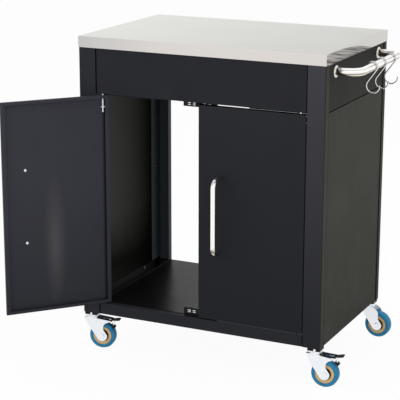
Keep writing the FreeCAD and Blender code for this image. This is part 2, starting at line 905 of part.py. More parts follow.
def left_pin_spring():
    """Coil spring between the ear and the pin's collar."""
    coil_radius = pin_radius + spring_play + spring_wire / 2
    clear = 0.1
    rise = spring_length - spring_wire - 2 * clear
    helix = Part.makeHelix(rise / spring_turns, rise, coil_radius)
    start = Vector(coil_radius, 0, 0)
    tangent = Vector(0, 2 * math.pi * coil_radius, rise / spring_turns)
    circle = Part.Wire([Part.makeCircle(spring_wire / 2, start, tangent)])
    pipe = Part.BRepOffsetAPI.MakePipeShell(Part.Wire(helix.Edges))
    pipe.setFrenetMode(True)
    pipe.add(circle)
    pipe.build()
    pipe.makeSolid()
    coil = pipe.shape()
    coil.translate(Vector(-pivot_x, pivot_y, ear_top() + spring_wire / 2 + clear))
    return coil


def opened(shape):
    """Left door piece turned about its pivot from closed to where it rests open."""
    copy = shape.copy()
    copy.rotate(Vector(-pivot_x, pivot_y, 0), Vector(0, 0, 1), -door_rest_angle)
    return copy


def s_hook(y):
    """Bent wire hook, turned about the bar until its weight hangs under it."""
    upper = Vector(bar_x, y, bar_z)
    lower = upper + Vector(hook_shift, 0, -hook_drop)
    r1 = hook_upper_radius
    r2 = hook_lower_radius
    gap = math.hypot(hook_shift, hook_drop)
    leave = math.acos((r1 + r2) / gap) + math.atan2(hook_shift, hook_drop) - math.pi / 2
    meet = leave + math.pi
    tip = math.radians(hook_tip_angle)
    end = math.radians(hook_end_angle + 360)

    def on(centre, radius, angle):
        return centre + Vector(radius * math.cos(angle), 0, radius * math.sin(angle))

    curves = (
        Part.Arc(on(upper, r1, tip), on(upper, r1, (tip + leave) / 2), on(upper, r1, leave)),
        Part.LineSegment(on(upper, r1, leave), on(lower, r2, meet)),
        Part.Arc(on(lower, r2, meet), on(lower, r2, (meet + end) / 2), on(lower, r2, end)),
    )
    wire = Part.Wire([curve.toShape() for curve in curves])
    hook = swept(hook_wire / 2, wire, on(upper, r1, tip), Vector(math.sin(tip), 0, -math.cos(tip)))
    weight = hook.Solids[0].CenterOfMass - upper
    hook.rotate(upper, Vector(0, 1, 0), math.degrees(math.atan2(weight.x, -weight.z)))
    return hook


def tyre():
    """Rubber tread with rounded shoulders, about the wheel's own axle."""
    half = tyre_width / 2
    outline = [(wheel_radius - tyre_depth, -half), (wheel_radius, -half), (wheel_radius, half),
               (wheel_radius - tyre_depth, half)]
    ring = revolved_y(outline)
    return rounded(ring, tyre_shoulder, lambda edge: edge.Length > 2 * math.pi * wheel_radius - 0.1)


def hub():
    """Moulded wheel centre with a thread guard set into each face round the boss."""
    rim = wheel_radius - tyre_depth
    face = hub_face_width / 2
    web = hub_guard_width / 2
    boss = fork_gap / 2 - hub_boss_play
    bore = axle_radius + axle_play
    outline = [
        (bore, -boss), (hub_boss_radius, -boss), (hub_boss_radius, -web), (hub_recess_radius, -web),
        (hub_recess_radius, -face), (rim, -face - 0.6), (rim, face + 0.6), (hub_recess_radius, face),
        (hub_recess_radius, web), (hub_boss_radius, web), (hub_boss_radius, boss), (bore, boss),
    ]
    return revolved_y(outline)


def fork_outline(braked):
    """Side view of a fork leg: points (x, z) from the roof's front down to the axle and up the back."""
    axle_z = wheel_radius
    foot = fork_foot_radius
    left = [(-fork_front, fork_roof_height), (-fork_front + 1, fork_roof_height - 6), (-11.0, 72.0), (-4.5, 61.0)]
    arc = [(caster_trail + foot * math.cos(math.radians(angle)), axle_z + foot * math.sin(math.radians(angle)))
           for angle in range(205, 376, 10)]
    if braked:
        lobe = [(7.5, 53.0), (4.5, 57.0), (4.0, 65.0), (6.0, 72.0), (11.5, 77.5), (23.0, 82.0), (25.5, 84.0),
                (23.5, 86.5)]
        right = [(caster_trail + x, z) for x, z in lobe] + [(fork_back + 4, 91.5), (fork_back, fork_roof_height)]
    else:
        slope = [(7.5, 53.0), (4.5, 57.0), (4.0, 76.0), (-1.0, 84.0)]
        right = [(caster_trail + x, z) for x, z in slope] + [(fork_back + 4, 91.0), (fork_back, fork_roof_height)]
    return left + arc + right


def fork(braked):
    """Pressed fork that turns on the kingpin: race, roof and two legs."""
    gap = fork_gap / 2
    roof = box(-fork_front, fork_back, -fork_side, fork_side, roof_low, fork_roof_height)
    legs = [prism_y(fork_outline(braked), side * gap, side * fork_side) for side in (-1, 1)]
    race_top = mount_plate_low - race_play
    race = rod(race_radius, Vector(0, 0, fork_roof_height - 0.5), Vector(0, 0, race_top))
    race = rounded(race, 1.2, lambda edge: edge.CenterOfMass.z > race_top - 0.1)
    kingpin_hole = rod(kingpin_radius + axle_play, Vector(0, 0, roof_low - 1), Vector(0, 0, race_top + 1))
    axle_hole = rod(axle_radius + axle_play, Vector(caster_trail, -fork_side - 1, wheel_radius),
                    Vector(caster_trail, fork_side + 1, wheel_radius))
    pressed = rounded(joined(roof, *legs), 1.0, lambda edge: abs(abs(edge.CenterOfMass.y) - fork_side) < 0.01
                      and edge.CenterOfMass.z > fork_roof_height - 0.01)
    return minus(joined(pressed, race), kingpin_hole, axle_hole)


def braked_fork():
    """Fork with the cross hole for the brake lever's pin."""
    hole = rod(lever_pin_radius + axle_play, Vector(lever_pivot_x, -fork_side - 1, lever_pivot_z),
               Vector(lever_pivot_x, fork_side + 1, lever_pivot_z))
    return fork(True).cut(hole)


def axle():
    """Bolt through the fork and the hub, with its nut."""
    reach = fork_side
    shank = rod(axle_radius, Vector(caster_trail, -reach, wheel_radius), Vector(caster_trail, reach, wheel_radius))
    heads = []
    for side in (-1, 1):
        head = rod(axle_head_radius, Vector(caster_trail, side * reach, wheel_radius),
                   Vector(caster_trail, side * (reach + axle_head_height), wheel_radius))
        heads.append(rounded(head, 1.2, lambda edge: abs(edge.CenterOfMass.y) > reach + axle_head_height - 0.01))
    return joined(shank, *heads)


def lever_top(x):
    """Height of the lever plate's upper face, which slopes down towards the pedal."""
    start = lever_pivot_z + lever_start_rise
    end = lever_pivot_z + lever_end_rise
    return start + (end - start) * (x - lever_start) / (lever_end - lever_start)


def lever_plate_piece():
    """Sloping plate with a wide slot, and a shallow cheek down each side that deepens round the pin."""
    half = lever_width / 2
    plate = prism_y([(lever_start, lever_top(lever_start)), (lever_end, lever_top(lever_end)),
                     (lever_end, lever_top(lever_end) - lever_plate),
                     (lever_start, lever_top(lever_start) - lever_plate)], -half, half)
    low = lever_pivot_z - lever_boss_radius / 2
    outline = [(lever_start, lever_top(lever_start) - 1), (lever_end, lever_top(lever_end) - 1),
               (lever_end, lever_top(lever_end) - lever_cheek_depth),
               (lever_slot_start, lever_top(lever_slot_start) - lever_cheek_depth),
               (lever_pivot_x + lever_boss_radius, low), (lever_pivot_x - lever_boss_radius, low),
               (lever_pivot_x - lever_boss_radius + 1, lever_pivot_z + 2)]
    cheeks = [prism_y(outline, side * half, side * (half - lever_cheek)) for side in (-1, 1)]
    slot = box(lever_slot_start, lever_slot_start + lever_slot_length, -lever_slot_width / 2,
               lever_slot_width / 2, low, lever_pivot_z + 12)
    return minus(joined(plate, *cheeks), slot)


def pedal():
    """Foot pad that turns up beyond the plate."""
    start = lever_end - 2
    end = lever_end + pedal_length
    low = lever_pivot_z + lever_end_rise - lever_plate
    outline = [(start, low), (start + 8, low - 0.5), (end - 2, low + pedal_rise - 3), (end, low + pedal_rise),
               (end - 2, low + pedal_rise + 2.5), (end - 7, low + pedal_rise + 2), (start + 6, low + pedal_thickness),
               (start, low + lever_plate)]
    pad = prism_y(outline, -pedal_width / 2, pedal_width / 2)
    return rounded(pad, 1.2, lambda edge: abs(edge.tangentAt(edge.FirstParameter).y) > 0.99
                   and edge.CenterOfMass.x > end - 8)


def lever_pin():
    """Pin through both fork legs, with a rivet head at each end."""
    reach = fork_side + lever_pin_head
    pin = rod(lever_pin_radius, Vector(lever_pivot_x, -fork_side, lever_pivot_z),
              Vector(lever_pivot_x, fork_side, lever_pivot_z))
    heads = [rounded(rod(lever_pin_head_radius, Vector(lever_pivot_x, side * fork_side, lever_pivot_z),
                         Vector(lever_pivot_x, side * reach, lever_pivot_z)), 1.0,
                     lambda edge: abs(edge.CenterOfMass.y) > reach - 0.01) for side in (-1, 1)]
    return joined(pin, *heads)


def brake_lever(tilt):
    """Lever with a pedal over the wheel's back and a shoe that meets the tread when it is pressed."""
    half = lever_width / 2
    boss = rod(lever_boss_radius, Vector(lever_pivot_x, -half, lever_pivot_z),
               Vector(lever_pivot_x, half, lever_pivot_z))
    pin = lever_pin()
    plate = joined(lever_plate_piece(), boss, pedal()).cut(pin)
    shoe = brake_shoe()
    reach = wheel_radius + shoe_gap + shoe_thickness / 2
    strut_x = caster_trail + reach * math.cos(math.radians(shoe_angle))
    strut_low = wheel_radius + reach * math.sin(math.radians(shoe_angle))
    strut = box(strut_x - strut_thickness / 2, strut_x + strut_thickness / 2, -shoe_width / 2 + 1,
                shoe_width / 2 - 1, strut_low, lever_top(lever_end) - lever_plate + 1)
    strut = max(strut.cut(plate).cut(shoe).Solids, key=lambda solid: solid.Volume)
    lever = Part.makeCompound([plate, pin, strut, shoe])
    lever.rotate(Vector(lever_pivot_x, 0, lever_pivot_z), Vector(0, 1, 0), tilt)
    return lever


def brake_shoe():
    """Curved block that follows the tread at a small gap."""
    inner = wheel_radius + shoe_gap
    outer = inner + shoe_thickness
    low = math.radians(shoe_angle - shoe_spread)
    high = math.radians(shoe_angle + shoe_spread)
    middle = (low + high) / 2

    def at(radius, angle):
        return Vector(caster_trail + radius * math.cos(angle), -shoe_width / 2, wheel_radius
                      + radius * math.sin(angle))

    edges = (
        Part.Arc(at(inner, low), at(inner, middle), at(inner, high)).toShape(),
        Part.makeLine(at(inner, high), at(outer, high)),
        Part.Arc(at(outer, high), at(outer, middle), at(outer, low)).toShape(),
        Part.makeLine(at(outer, low), at(inner, low)),
    )
    return Part.Face(Part.Wire(edges)).extrude(Vector(0, shoe_width, 0))


def wheel_piece(shape):
    """Wheel piece moved from its own axle to the caster's frame."""
    copy = shape.copy()
    copy.translate(Vector(caster_trail, 0, wheel_radius))
    return copy


def caster_nodes():
    """Every moving caster piece, turned and set under its corner."""
    nodes = {}
    for name, angle in caster_angles.items():
        side = 1 if name.endswith("right") else -1
        end = -1 if name.startswith("front") else 1
        place = Vector(side * caster_x, end * caster_y, 0)
        pieces = {"fork": braked_fork() if end < 0 else fork(False), "axle": axle(), "tyre": wheel_piece(tyre()),
                  "hub": wheel_piece(hub())}
        if end < 0:
            pieces["brake_lever"] = brake_lever(lever_tilts[name])
        for piece, shape in pieces.items():
            nodes[name + "_" + piece] = turned(shape, angle, place)
    return nodes


def door_nodes():
    """Both doors: the left one rests open, the right one is its mirror image, closed."""
    makers = {
        "door_pan": left_door_pan,
        "door_handle": left_door_handle,
        "handle_screws": left_handle_screws,
        "hinge_fittings": left_hinge_fittings,
        "upper_pin": left_upper_pin,
        "pin_spring": left_pin_spring,
    }
    nodes = {}
    for name, make in makers.items():
        closed = make()
        nodes["left_" + name] = opened(closed)
        nodes["right_" + name] = mirrored_x(closed)
    return nodes


def frame_nodes():
    """Everything that stays fixed to the cabinet."""
    return {
        "worktop": worktop(),
        "worktop_stiffeners": worktop_stiffeners(),
        "front_left_post": front_post(-1),
        "front_right_post": front_post(1),
        "rear_left_post": rear_post(-1),
        "rear_right_post": rear_post(1),
        "front_apron": front_apron(),
        "rear_apron": cross_apron(1),
        "left_apron": side_apron(-1),
        "right_apron": right_apron(),
        "left_side_panel": side_panel(-1),
        "right_side_panel": side_panel(1),
        "front_bottom_rail": front_bottom_rail(),
        "rear_bottom_rail": rear_bottom_rail(),
        "side_bottom_rails": side_bottom_rails(),
        "bottom_shelf": bottom_shelf(),
        "lower_catch": lower_catch(),
        "upper_catch": upper_catch(),
        "catch_plates": catch_plates(),
        "corner_plates": corner_plates(),
        "caster_sockets": caster_sockets(),
        "caster_stems": caster_stems(),
        "side_handle": side_handle(),
        "handle_rosettes": handle_rosettes(),
        "handle_bolts": handle_bolts(),
        "frame_screws": frame_screws(),
    }


def all_nodes():
    nodes = frame_nodes()
    nodes.update(door_nodes())
    nodes.update(caster_nodes())
    for number, y in enumerate(hook_places, start=1):
        nodes["hook_" + str(number)] = s_hook(y)
    return nodes


def shift_to_origin(nodes):
    """Move that brings the middle of the bottom of the whole part's box to the origin."""
    whole = Part.makeCompound(list(nodes.values())).optimalBoundingBox(False, False)
    return Vector(-(whole.XMin + whole.XMax) / 2, -(whole.YMin + whole.YMax) / 2, 0)


nodes = all_nodes()
shift = shift_to_origin(nodes)

os.makedirs("parts", exist_ok=True)
for name, shape in nodes.items():
    shape.translate(shift)
    shape.exportStep("parts/" + name + ".step")
    print(name, "solids", len(shape.Solids), "valid", shape.isValid(), "volume", round(shape.Volume, 1))
print("shift", round(shift.x, 3), round(shift.y, 3), "nodes", len(nodes))
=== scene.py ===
from collections import namedtuple
import json
import math

import bmesh
import bpy
from mathutils import Matrix, Vector


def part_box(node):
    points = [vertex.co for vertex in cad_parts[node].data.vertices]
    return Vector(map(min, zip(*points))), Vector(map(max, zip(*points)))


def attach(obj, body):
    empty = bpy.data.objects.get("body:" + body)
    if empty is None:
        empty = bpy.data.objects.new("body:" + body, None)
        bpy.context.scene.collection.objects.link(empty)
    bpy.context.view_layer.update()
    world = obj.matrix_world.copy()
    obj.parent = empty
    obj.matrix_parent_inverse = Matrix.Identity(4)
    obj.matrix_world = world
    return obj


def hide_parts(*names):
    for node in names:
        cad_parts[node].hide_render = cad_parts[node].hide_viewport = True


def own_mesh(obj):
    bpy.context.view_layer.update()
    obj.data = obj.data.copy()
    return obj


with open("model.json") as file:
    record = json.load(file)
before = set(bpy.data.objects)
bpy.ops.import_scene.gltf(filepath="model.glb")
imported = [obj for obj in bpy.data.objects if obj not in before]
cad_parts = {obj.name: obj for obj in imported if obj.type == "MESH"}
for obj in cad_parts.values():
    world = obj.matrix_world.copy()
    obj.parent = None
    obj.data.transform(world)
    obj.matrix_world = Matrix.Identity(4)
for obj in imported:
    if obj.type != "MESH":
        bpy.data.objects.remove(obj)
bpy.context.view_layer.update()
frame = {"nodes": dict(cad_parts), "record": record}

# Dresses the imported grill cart: coats, metals and plastics, softened sheet edges, bent tubes, wire hooks, springs,
# screws and wheels. Metres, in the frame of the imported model.

scene = bpy.context.scene
solids = frame["nodes"]
body_of = {node: body for body, members in frame["record"]["behaviour"]["bodies"].items() for node in members}
slot_of = {entry["node"]: entry["material_slot"] for entry in frame["record"]["subparts"]}

# Middle of the cabinet's footprint, from which the places below are measured
top_low, top_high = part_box("worktop")
CART_MIDDLE = Vector(((top_low[0] + top_high[0]) / 2, (top_low[1] + top_high[1]) / 2, 0.0))

# Camera of the photograph
CAMERA_PLACE = Vector((1.6847, -3.7571, 1.5240))
CAMERA_AZIMUTH = 25.509
CAMERA_ELEVATION = 14.917
CAMERA_ROLL = 0.088
FOCAL_PIXELS = 1478.7
IMAGE_PIXELS = 400
SENSOR_WIDTH = 36.0
LAMP_POWER = 34.0

# Steps round a tube and round its bends
TUBE_STEPS = {"bar": 40, "grip": 32, "wire": 14, "spring": 8}
BEND_STEPS = {"bar": 14, "grip": 12}

# Side handle and hooks
BAR_FOOT_X = 0.363
BAR_X = 0.427
BAR_Z = 0.857
BAR_PITCH = 0.338
BAR_TUBE = 0.022
BAR_BEND = 0.036
HOOK_WIRE = 0.004
HOOK_UPPER = 0.0133
HOOK_LOWER = 0.0185
HOOK_DROP = 0.052
HOOK_SHIFT = 0.004
HOOK_TIP_ANGLE = 190.0
HOOK_END_ANGLE = 12.0
HOOK_PLACES = (-0.058, 0.016, 0.096)
HOOK_STEP = 0.0009
WIRE_TIP = 0.08

# Doors
DOOR_FRONT = -0.240
DOOR_SHEET = 0.001
LEFT_PIVOT = Vector((-0.295, -0.235, 0.0))
LEFT_DOOR_ANGLE = -131.5
GRIP_X = 0.068
GRIP_MIDDLE = 0.452
GRIP_PITCH = 0.208
GRIP_TUBE = 0.016
GRIP_STANDOFF = 0.049
GRIP_BEND = 0.024
SPRING_WIRE = 0.0009
SPRING_RADIUS = 0.0033
SPRING_TURNS = 11
SPRING_TURN_STEPS = 20

# Cross-head screws: the length of each node's shanks, and the sizes that all share
SCREW_SHANKS = {"frame_screws": 0.0024, "left_handle_screws": 0.0118, "right_handle_screws": 0.0118}
SCREW_SIZES = {"head_radius": 0.0042, "head_height": 0.0022, "recess_width": 0.0010, "recess_length": 0.0044,
               "recess_depth": 0.0011, "shank_radius": 0.0019, "round_steps": 24}
SCREW_DOME = 0.55
SCREW_SPIN = 0.7
SHANK_SHIFT = -0.498
SCREW_WIDEST_SHANK = 0.0040
SCREW_END = 0.0012

# Worktop: its reach from the cart's middle, the wavy upper edge of the painted reflection streaks on its end rims,
# and the spans over which the painted reflection on its top and on its front rim changes tone
TOP_REACH = (0.3655, 0.2415)
REFLECTION_STREAKS_TOP = 0.904
REFLECTION_STREAKS_FROM = -0.042
REFLECTION_STREAKS_FALL = 0.1
REFLECTION_STREAKS_CURVE = 0.36
REFLECTION_STREAKS_BLUR = 0.0012
REFLECTION_STREAKS_SLANT = 9.5
TOP_SPREAD = (-0.36, 0.36)
RIM_SPREAD = (-0.36, -0.10)

# Tones of the worktop's metal, with painted reflection: the top darker to the right, the front rim paler to the
# right, and dark and light reflection streaks low on the end rims below their plain tone
TOP_LEFT = (0.722, 0.730, 0.690, 1.0)
TOP_RIGHT = (0.575, 0.570, 0.537, 1.0)
RIM_LEFT = (0.590, 0.580, 0.575, 1.0)
RIM_RIGHT = (0.745, 0.710, 0.680, 1.0)
SIDE_CLEAR = (0.66, 0.64, 0.61, 1.0)
REFLECTION_STREAK_DARK = (0.115, 0.10, 0.095)
REFLECTION_STREAK_LIGHT = (0.50, 0.49, 0.47)

# Wheels
CASTER_ANGLES = {"front_left": 12.5, "front_right": 5.0, "rear_left": 4.0, "rear_right": -1.5}
WHEEL_RADIUS = 0.0385
TYRE_HALF = 0.0125
TYRE_SHOULDER = 0.0065
SHOULDER_STEPS = 9
WHEEL_STEPS = 72

# Sections of the wheel, as radius and place across it: tread's face and parting ridge, centre, and the thread guard
# that stands in for the shade in the centre's recess
TYRE_FACE = [(0.0269, 0.0117), (0.0277, 0.0125), (0.0295, 0.0125), (0.0299, 0.0122), (0.0303, 0.0125)]
TYRE_RIDGE = [(0.03835, 0.0007), (0.0385, 0.0004)]
HUB_SECTION = [
    (0.00405, 0.0147), (0.00455, 0.0152), (0.0084, 0.0152), (0.0090, 0.0146), (0.0093, 0.0055), (0.0103, 0.0045),
    (0.0170, 0.0045), (0.0180, 0.0055), (0.0183, 0.0104), (0.0189, 0.0110), (0.0257, 0.0114), (0.0267, 0.0114),
    (0.0267, 0.0107)]
SHADE_GUARD_SECTION = [
    (0.0094, 0.0055), (0.0094, 0.0074), (0.0106, 0.0076), (0.0151, 0.0076), (0.0159, 0.0084), (0.0175, 0.0085),
    (0.0181, 0.0079), (0.0181, 0.0055)]

# Ribs of the wheel's centre and their place across the wheel
RIB_SIZES = {"ring_radius": 0.01365, "rib_length": 0.0099, "rib_width": 0.0016, "rib_height": 0.0034, "rib_count": 8}
RIB_ACROSS = 0.0057

# Brake lever's parts, each with its rank from the shortest, its finish and the radius of its edges
BRAKE_PARTS = (("plate", 3, "lever_paint", 0.0005), ("pin", 1, "zinc_plate", 0.0002),
               ("strut", 0, "zinc_plate", 0.0002), ("shoe", 2, "black_plastic", 0.0005))
BRAKE_SHORTEST = 0.0015
HINGE_EDGE = 0.0003

# Rounding of the solids' edges: what is merged, what counts as flat and as sharp, in degrees, and the steps
MERGE_REACH = 0.00001
FLAT_ANGLE = 0.5
SHARP_ANGLE = 32.0
EDGE_STEPS = 2

# Radius that each node's edges are rounded to, in the order that the pieces are made
SOFT_EDGES = (
    (0.00035, ("rear_apron", "left_apron", "right_apron", "front_bottom_rail", "rear_bottom_rail",
               "side_bottom_rails", "bottom_shelf", "left_side_panel", "right_side_panel", "front_left_post",
               "front_right_post", "rear_left_post", "rear_right_post", "corner_plates", "worktop_stiffeners")),
    (0.0006, ("lower_catch", "upper_catch", "caster_sockets")),
    (0.00012, ("left_door_pan", "right_door_pan", "catch_plates", "front_apron")),
    (0.0005, tuple(corner + "_fork" for corner in CASTER_ANGLES)),
)


class Network:
    """Adds nodes to a tree and links them as it goes."""

    def __init__(self, tree):
        self.tree = tree

    def add(self, kind, sockets=None, output=0, **settings):
        """A node with its settings and sockets filled, and the output that others read."""
        node = self.tree.nodes.new(kind)
        for name, value in settings.items():
            setattr(node, name, value)
        for name, value in (sockets or {}).items():
            self.feed(node.inputs[name], value)
        return node.outputs[output]

    def feed(self, socket, value):
        """Link an output to the socket, or set its number."""
        if isinstance(value, bpy.types.NodeSocket):
            self.tree.links.new(value, socket)
        else:
            socket.default_value = value

    def maths(self, operation, first, second=0.0):
        """One sum of two numbers or outputs."""
        return self.add("ShaderNodeMath", {0: first, 1: second}, operation=operation)

    def split(self, vector):
        """The x, y and z of a vector."""
        node = self.tree.nodes.new("ShaderNodeSeparateXYZ")
        self.feed(node.inputs[0], vector)
        return node.outputs

    def vector(self, x=0.0, y=0.0, z=0.0):
        """A vector of three numbers or outputs."""
        return self.add("ShaderNodeCombineXYZ", {"X": x, "Y": y, "Z": z})


class Finish(Network):
    """A surface finish: one principled shader whose patterns lie on object coordinates."""

    def __init__(self, name, metallic=0.0, shine=0.5):
        self.material = bpy.data.materials.new(name)
        self.material.use_nodes = True
        super().__init__(self.material.node_tree)
        self.shader = self.tree.nodes["Principled BSDF"]
        self.shader.inputs["Metallic"].default_value = metallic
        self.shader.inputs["Specular IOR Level"].default_value = shine
        self.spot = self.add("ShaderNodeTexCoord", output=3)

    def grain(self, size, stretch=(1.0, 1.0, 1.0), detail=2.0, spot=None):
        """Cloudy noise with patches of the given size, drawn out along an axis by its stretch."""
        scale = [1.0 / (size * reach) for reach in stretch]
        laid = self.add("ShaderNodeMapping", {"Vector": spot or self.spot, "Scale": scale})
        return self.add("ShaderNodeTexNoise", {"Vector": laid, "Scale": 1.0, "Detail": detail})

    def cells(self, size):
        """Crystals of the given size, each with its own shade."""
        laid = self.add("ShaderNodeMapping", {"Vector": self.spot, "Scale": [1.0 / size] * 3})
        cell = self.add("ShaderNodeTexVoronoi", {"Vector": laid, "Scale": 1.0}, output=1)
        return self.add("ShaderNodeRGBToBW", {"Color": cell})

    def ranged(self, pattern, low, high, start=0.3, end=0.7):
        """The pattern's spread mapped to a range of numbers."""
        return self.add("ShaderNodeMapRange", {"Value": pattern, "From Min": start, "From Max": end, "To Min": low,
                                               "To Max": high})

    def ramp(self, pattern, tones):
        """Colours that change along the pattern: (place, colour)."""
        node = self.tree.nodes.new("ShaderNodeValToRGB")
        marks = node.color_ramp.elements
        while len(marks) < len(tones):
            marks.new(1.0)
        for mark, (place, tone) in zip(marks, tones):
            mark.position = place
            mark.color = (*tone, 1.0)
        self.feed(node.inputs["Fac"], pattern)
        return node.outputs["Color"]

    def shade(self, pattern, low, high, start=0.3, end=0.7):
        """Two colours blended by the pattern."""
        return self.ramp(pattern, ((start, low), (end, high)))

    def blend(self, fac, first, second, kind="RGBA"):
        """Blend of two colours or numbers."""
        start, end, output = (6, 7, 2) if kind == "RGBA" else (2, 3, 0)
        return self.add("ShaderNodeMix", {0: fac, start: first, end: second}, output=output, data_type=kind)

    def relief(self, *layers):
        """Bumps on bumps: (pattern, depth in metres)."""
        normal = None
        for pattern, depth in layers:
            sockets = {"Height": pattern, "Distance": depth, "Strength": 1.0}
            if normal is not None:
                sockets["Normal"] = normal
            normal = self.add("ShaderNodeBump", sockets)
        self.feed(self.shader.inputs["Normal"], normal)

    def cart_place(self):
        """Place on the cart, measured from the middle of its footprint: outputs x, y and height."""
        return self.split(self.add("ShaderNodeMapping", {"Vector": self.spot, "Location": -CART_MIDDLE}))

    def beyond(self, bound, blur):
        """One outside a box about the cart's middle that reaches the bound, and nought inside it."""
        place = self.cart_place()
        far = [self.ranged(self.maths("ABSOLUTE", place[axis]), 0.0, 1.0, reach - blur, reach)
               for axis, reach in enumerate(bound)]
        return self.maths("MAXIMUM", *far)

    def seams(self, spans):
        """Painted seam shadow: one at the ends of a sheet's open spans, where it meets its neighbours, and nought
        between them.
        """
        place = self.cart_place()
        ends = []
        for axis, (low, high, reach) in spans.items():
            away = self.maths("ABSOLUTE", self.maths("SUBTRACT", place[axis], (low + high) / 2))
            half = (high - low) / 2
            ends.append(self.ranged(away, 0.0, 1.0, half - reach, half - reach * SEAM_SHADOW_CORE))
        return ends[0] if len(ends) == 1 else self.maths("MAXIMUM", *ends)

    def put(self, **sockets):
        """Feed the shader's sockets by name."""
        for name, value in sockets.items():
            self.feed(self.shader.inputs[name.replace("_", " ").title().replace("Ior", "IOR")], value)
        return self.material


def coat_zone(coat, wipe, zone):
    """Colour and shine of one zone of a coat: handling clouds between two tones, changing to the painted shade of its
    foot and depth.
    """
    colour = coat.shade(wipe, zone.low, zone.high)
    shine = zone.shine
    for axis, fade in ((2, zone.foot), (1, zone.deep)):
        if fade:
            kept = coat.ranged(coat.cart_place()[axis], 0.0, 1.0, fade.start, fade.end)
            colour = coat.blend(kept, (*fade.tone, 1.0), colour)
            shine = coat.ranged(kept, fade.shine, shine, 0.0, 1.0)
    return colour, shine


def powder_base(name, outer, tint, gloss=(0.46, 0.56), bound=None, inner=None, back=None, spans=None):
    """Satin baked coat with a fine orange peel and faint handling clouds, duller inside in tones of painted light and
    shade, and with painted shadow along its seams.
    """
    coat = Finish(name, shine=outer.shine)
    coat.shader.inputs["Specular Tint"].default_value = (*tint, 1.0)
    cloud = coat.grain(CLOUD_SIZE, detail=3.0)
    smear = coat.grain(0.035, stretch=(1.0, 1.0, 3.0), detail=3.0)
    peel = coat.grain(0.0016, detail=1.0)
    ripple = coat.grain(0.009, detail=1.0)
    wipe = coat.blend(0.45, cloud, smear, kind="FLOAT")
    coat.relief((ripple, 0.00003), (peel, 0.00002))
    colour, shine = coat_zone(coat, wipe, outer)
    if inner:
        outside = coat.beyond(bound, ZONE_BLUR)
        inner_colour, inner_shine = coat_zone(coat, wipe, inner)
        colour = coat.blend(outside, inner_colour, colour)
        shine = coat.blend(outside, inner_shine, shine, kind="FLOAT")
    if back:
        behind = coat.ranged(coat.cart_place()[1], 0.0, 1.0, bound[1] - ZONE_BLUR, bound[1])
        colour = coat.blend(behind, colour, coat_zone(coat, wipe, back)[0])
    if spans:
        # Painted shadow in the gaps where the sheet meets its neighbours
        seam_shade = coat.seams(spans)
        colour = coat.blend(seam_shade, colour, SEAM_SHADOW_TONE)
        shine = coat.blend(seam_shade, shine, 0.0, kind="FLOAT")
    coat.put(base_color=colour, roughness=coat.ranged(wipe, *gloss), specular_ior_level=shine)
    return coat


def powder_coat(name, outer, tint, **changes):
    """Material of a satin baked coat."""
    return powder_base(name, outer, tint, **changes).material


def opened_door_coat():
    """Coat of the opened door: the doors' tone outside, and inside paler as painted light, with a painted shadow in
    the fold by its hinge and a painted highlight patch.
    """
    coat = powder_base("left_door_coat", LEFT_DOOR, COOL)
    turn = math.radians(-LEFT_DOOR_ANGLE)
    back = LEFT_PIVOT - Matrix.Rotation(turn, 3, "Z") @ (LEFT_PIVOT + CART_MIDDLE)
    closed = coat.add("ShaderNodeMapping", {"Vector": coat.spot, "Rotation": (0.0, 0.0, turn), "Location": back})
    x, y, z = coat.split(closed)
    sheets_deep = coat.maths("DIVIDE", coat.maths("SUBTRACT", y, DOOR_FRONT), DOOR_SHEET)
    outer_side = coat.ranged(sheets_deep, 1.0, 0.0, 0.15, 0.45)
    inner_side = coat.maths("MULTIPLY", coat.ranged(sheets_deep, 0.0, 1.0, 0.3, 0.8),
                            coat.ranged(sheets_deep, 1.0, 0.0, 1.5, 2.2))
    # fold: painted shadow along the fold by the hinge
    fold = coat.maths("MULTIPLY", coat.ranged(x, 1.0, 0.0, *FOLD_SHADOW_EDGE), inner_side)
    # Painted highlight: a soft paler patch on the inner side
    highlight_place = coat.add("ShaderNodeMapping", {"Vector": closed, "Location": [-at / reach for at, reach in HIGHLIGHT_PATCH],
                                           "Scale": [1.0 / reach for at, reach in HIGHLIGHT_PATCH]})
    patch = coat.add("ShaderNodeTexGradient", {"Vector": highlight_place}, output=1, gradient_type="SPHERICAL")
    inside = coat.shader.inputs["Base Color"].links[0].from_socket
    outside = coat_zone(coat, coat.grain(CLOUD_SIZE, detail=3.0), DOOR)[0]
    paler = coat.blend(coat.maths("MULTIPLY", patch, inner_side), coat.blend(outer_side, inside, outside), HIGHLIGHT_TONE)
    return coat.put(base_color=coat.blend(fold, paler, FOLD_SHADOW_TONE),
                    specular_ior_level=coat.ranged(fold, LEFT_DOOR.shine, 0.02, 0.0, 1.0))


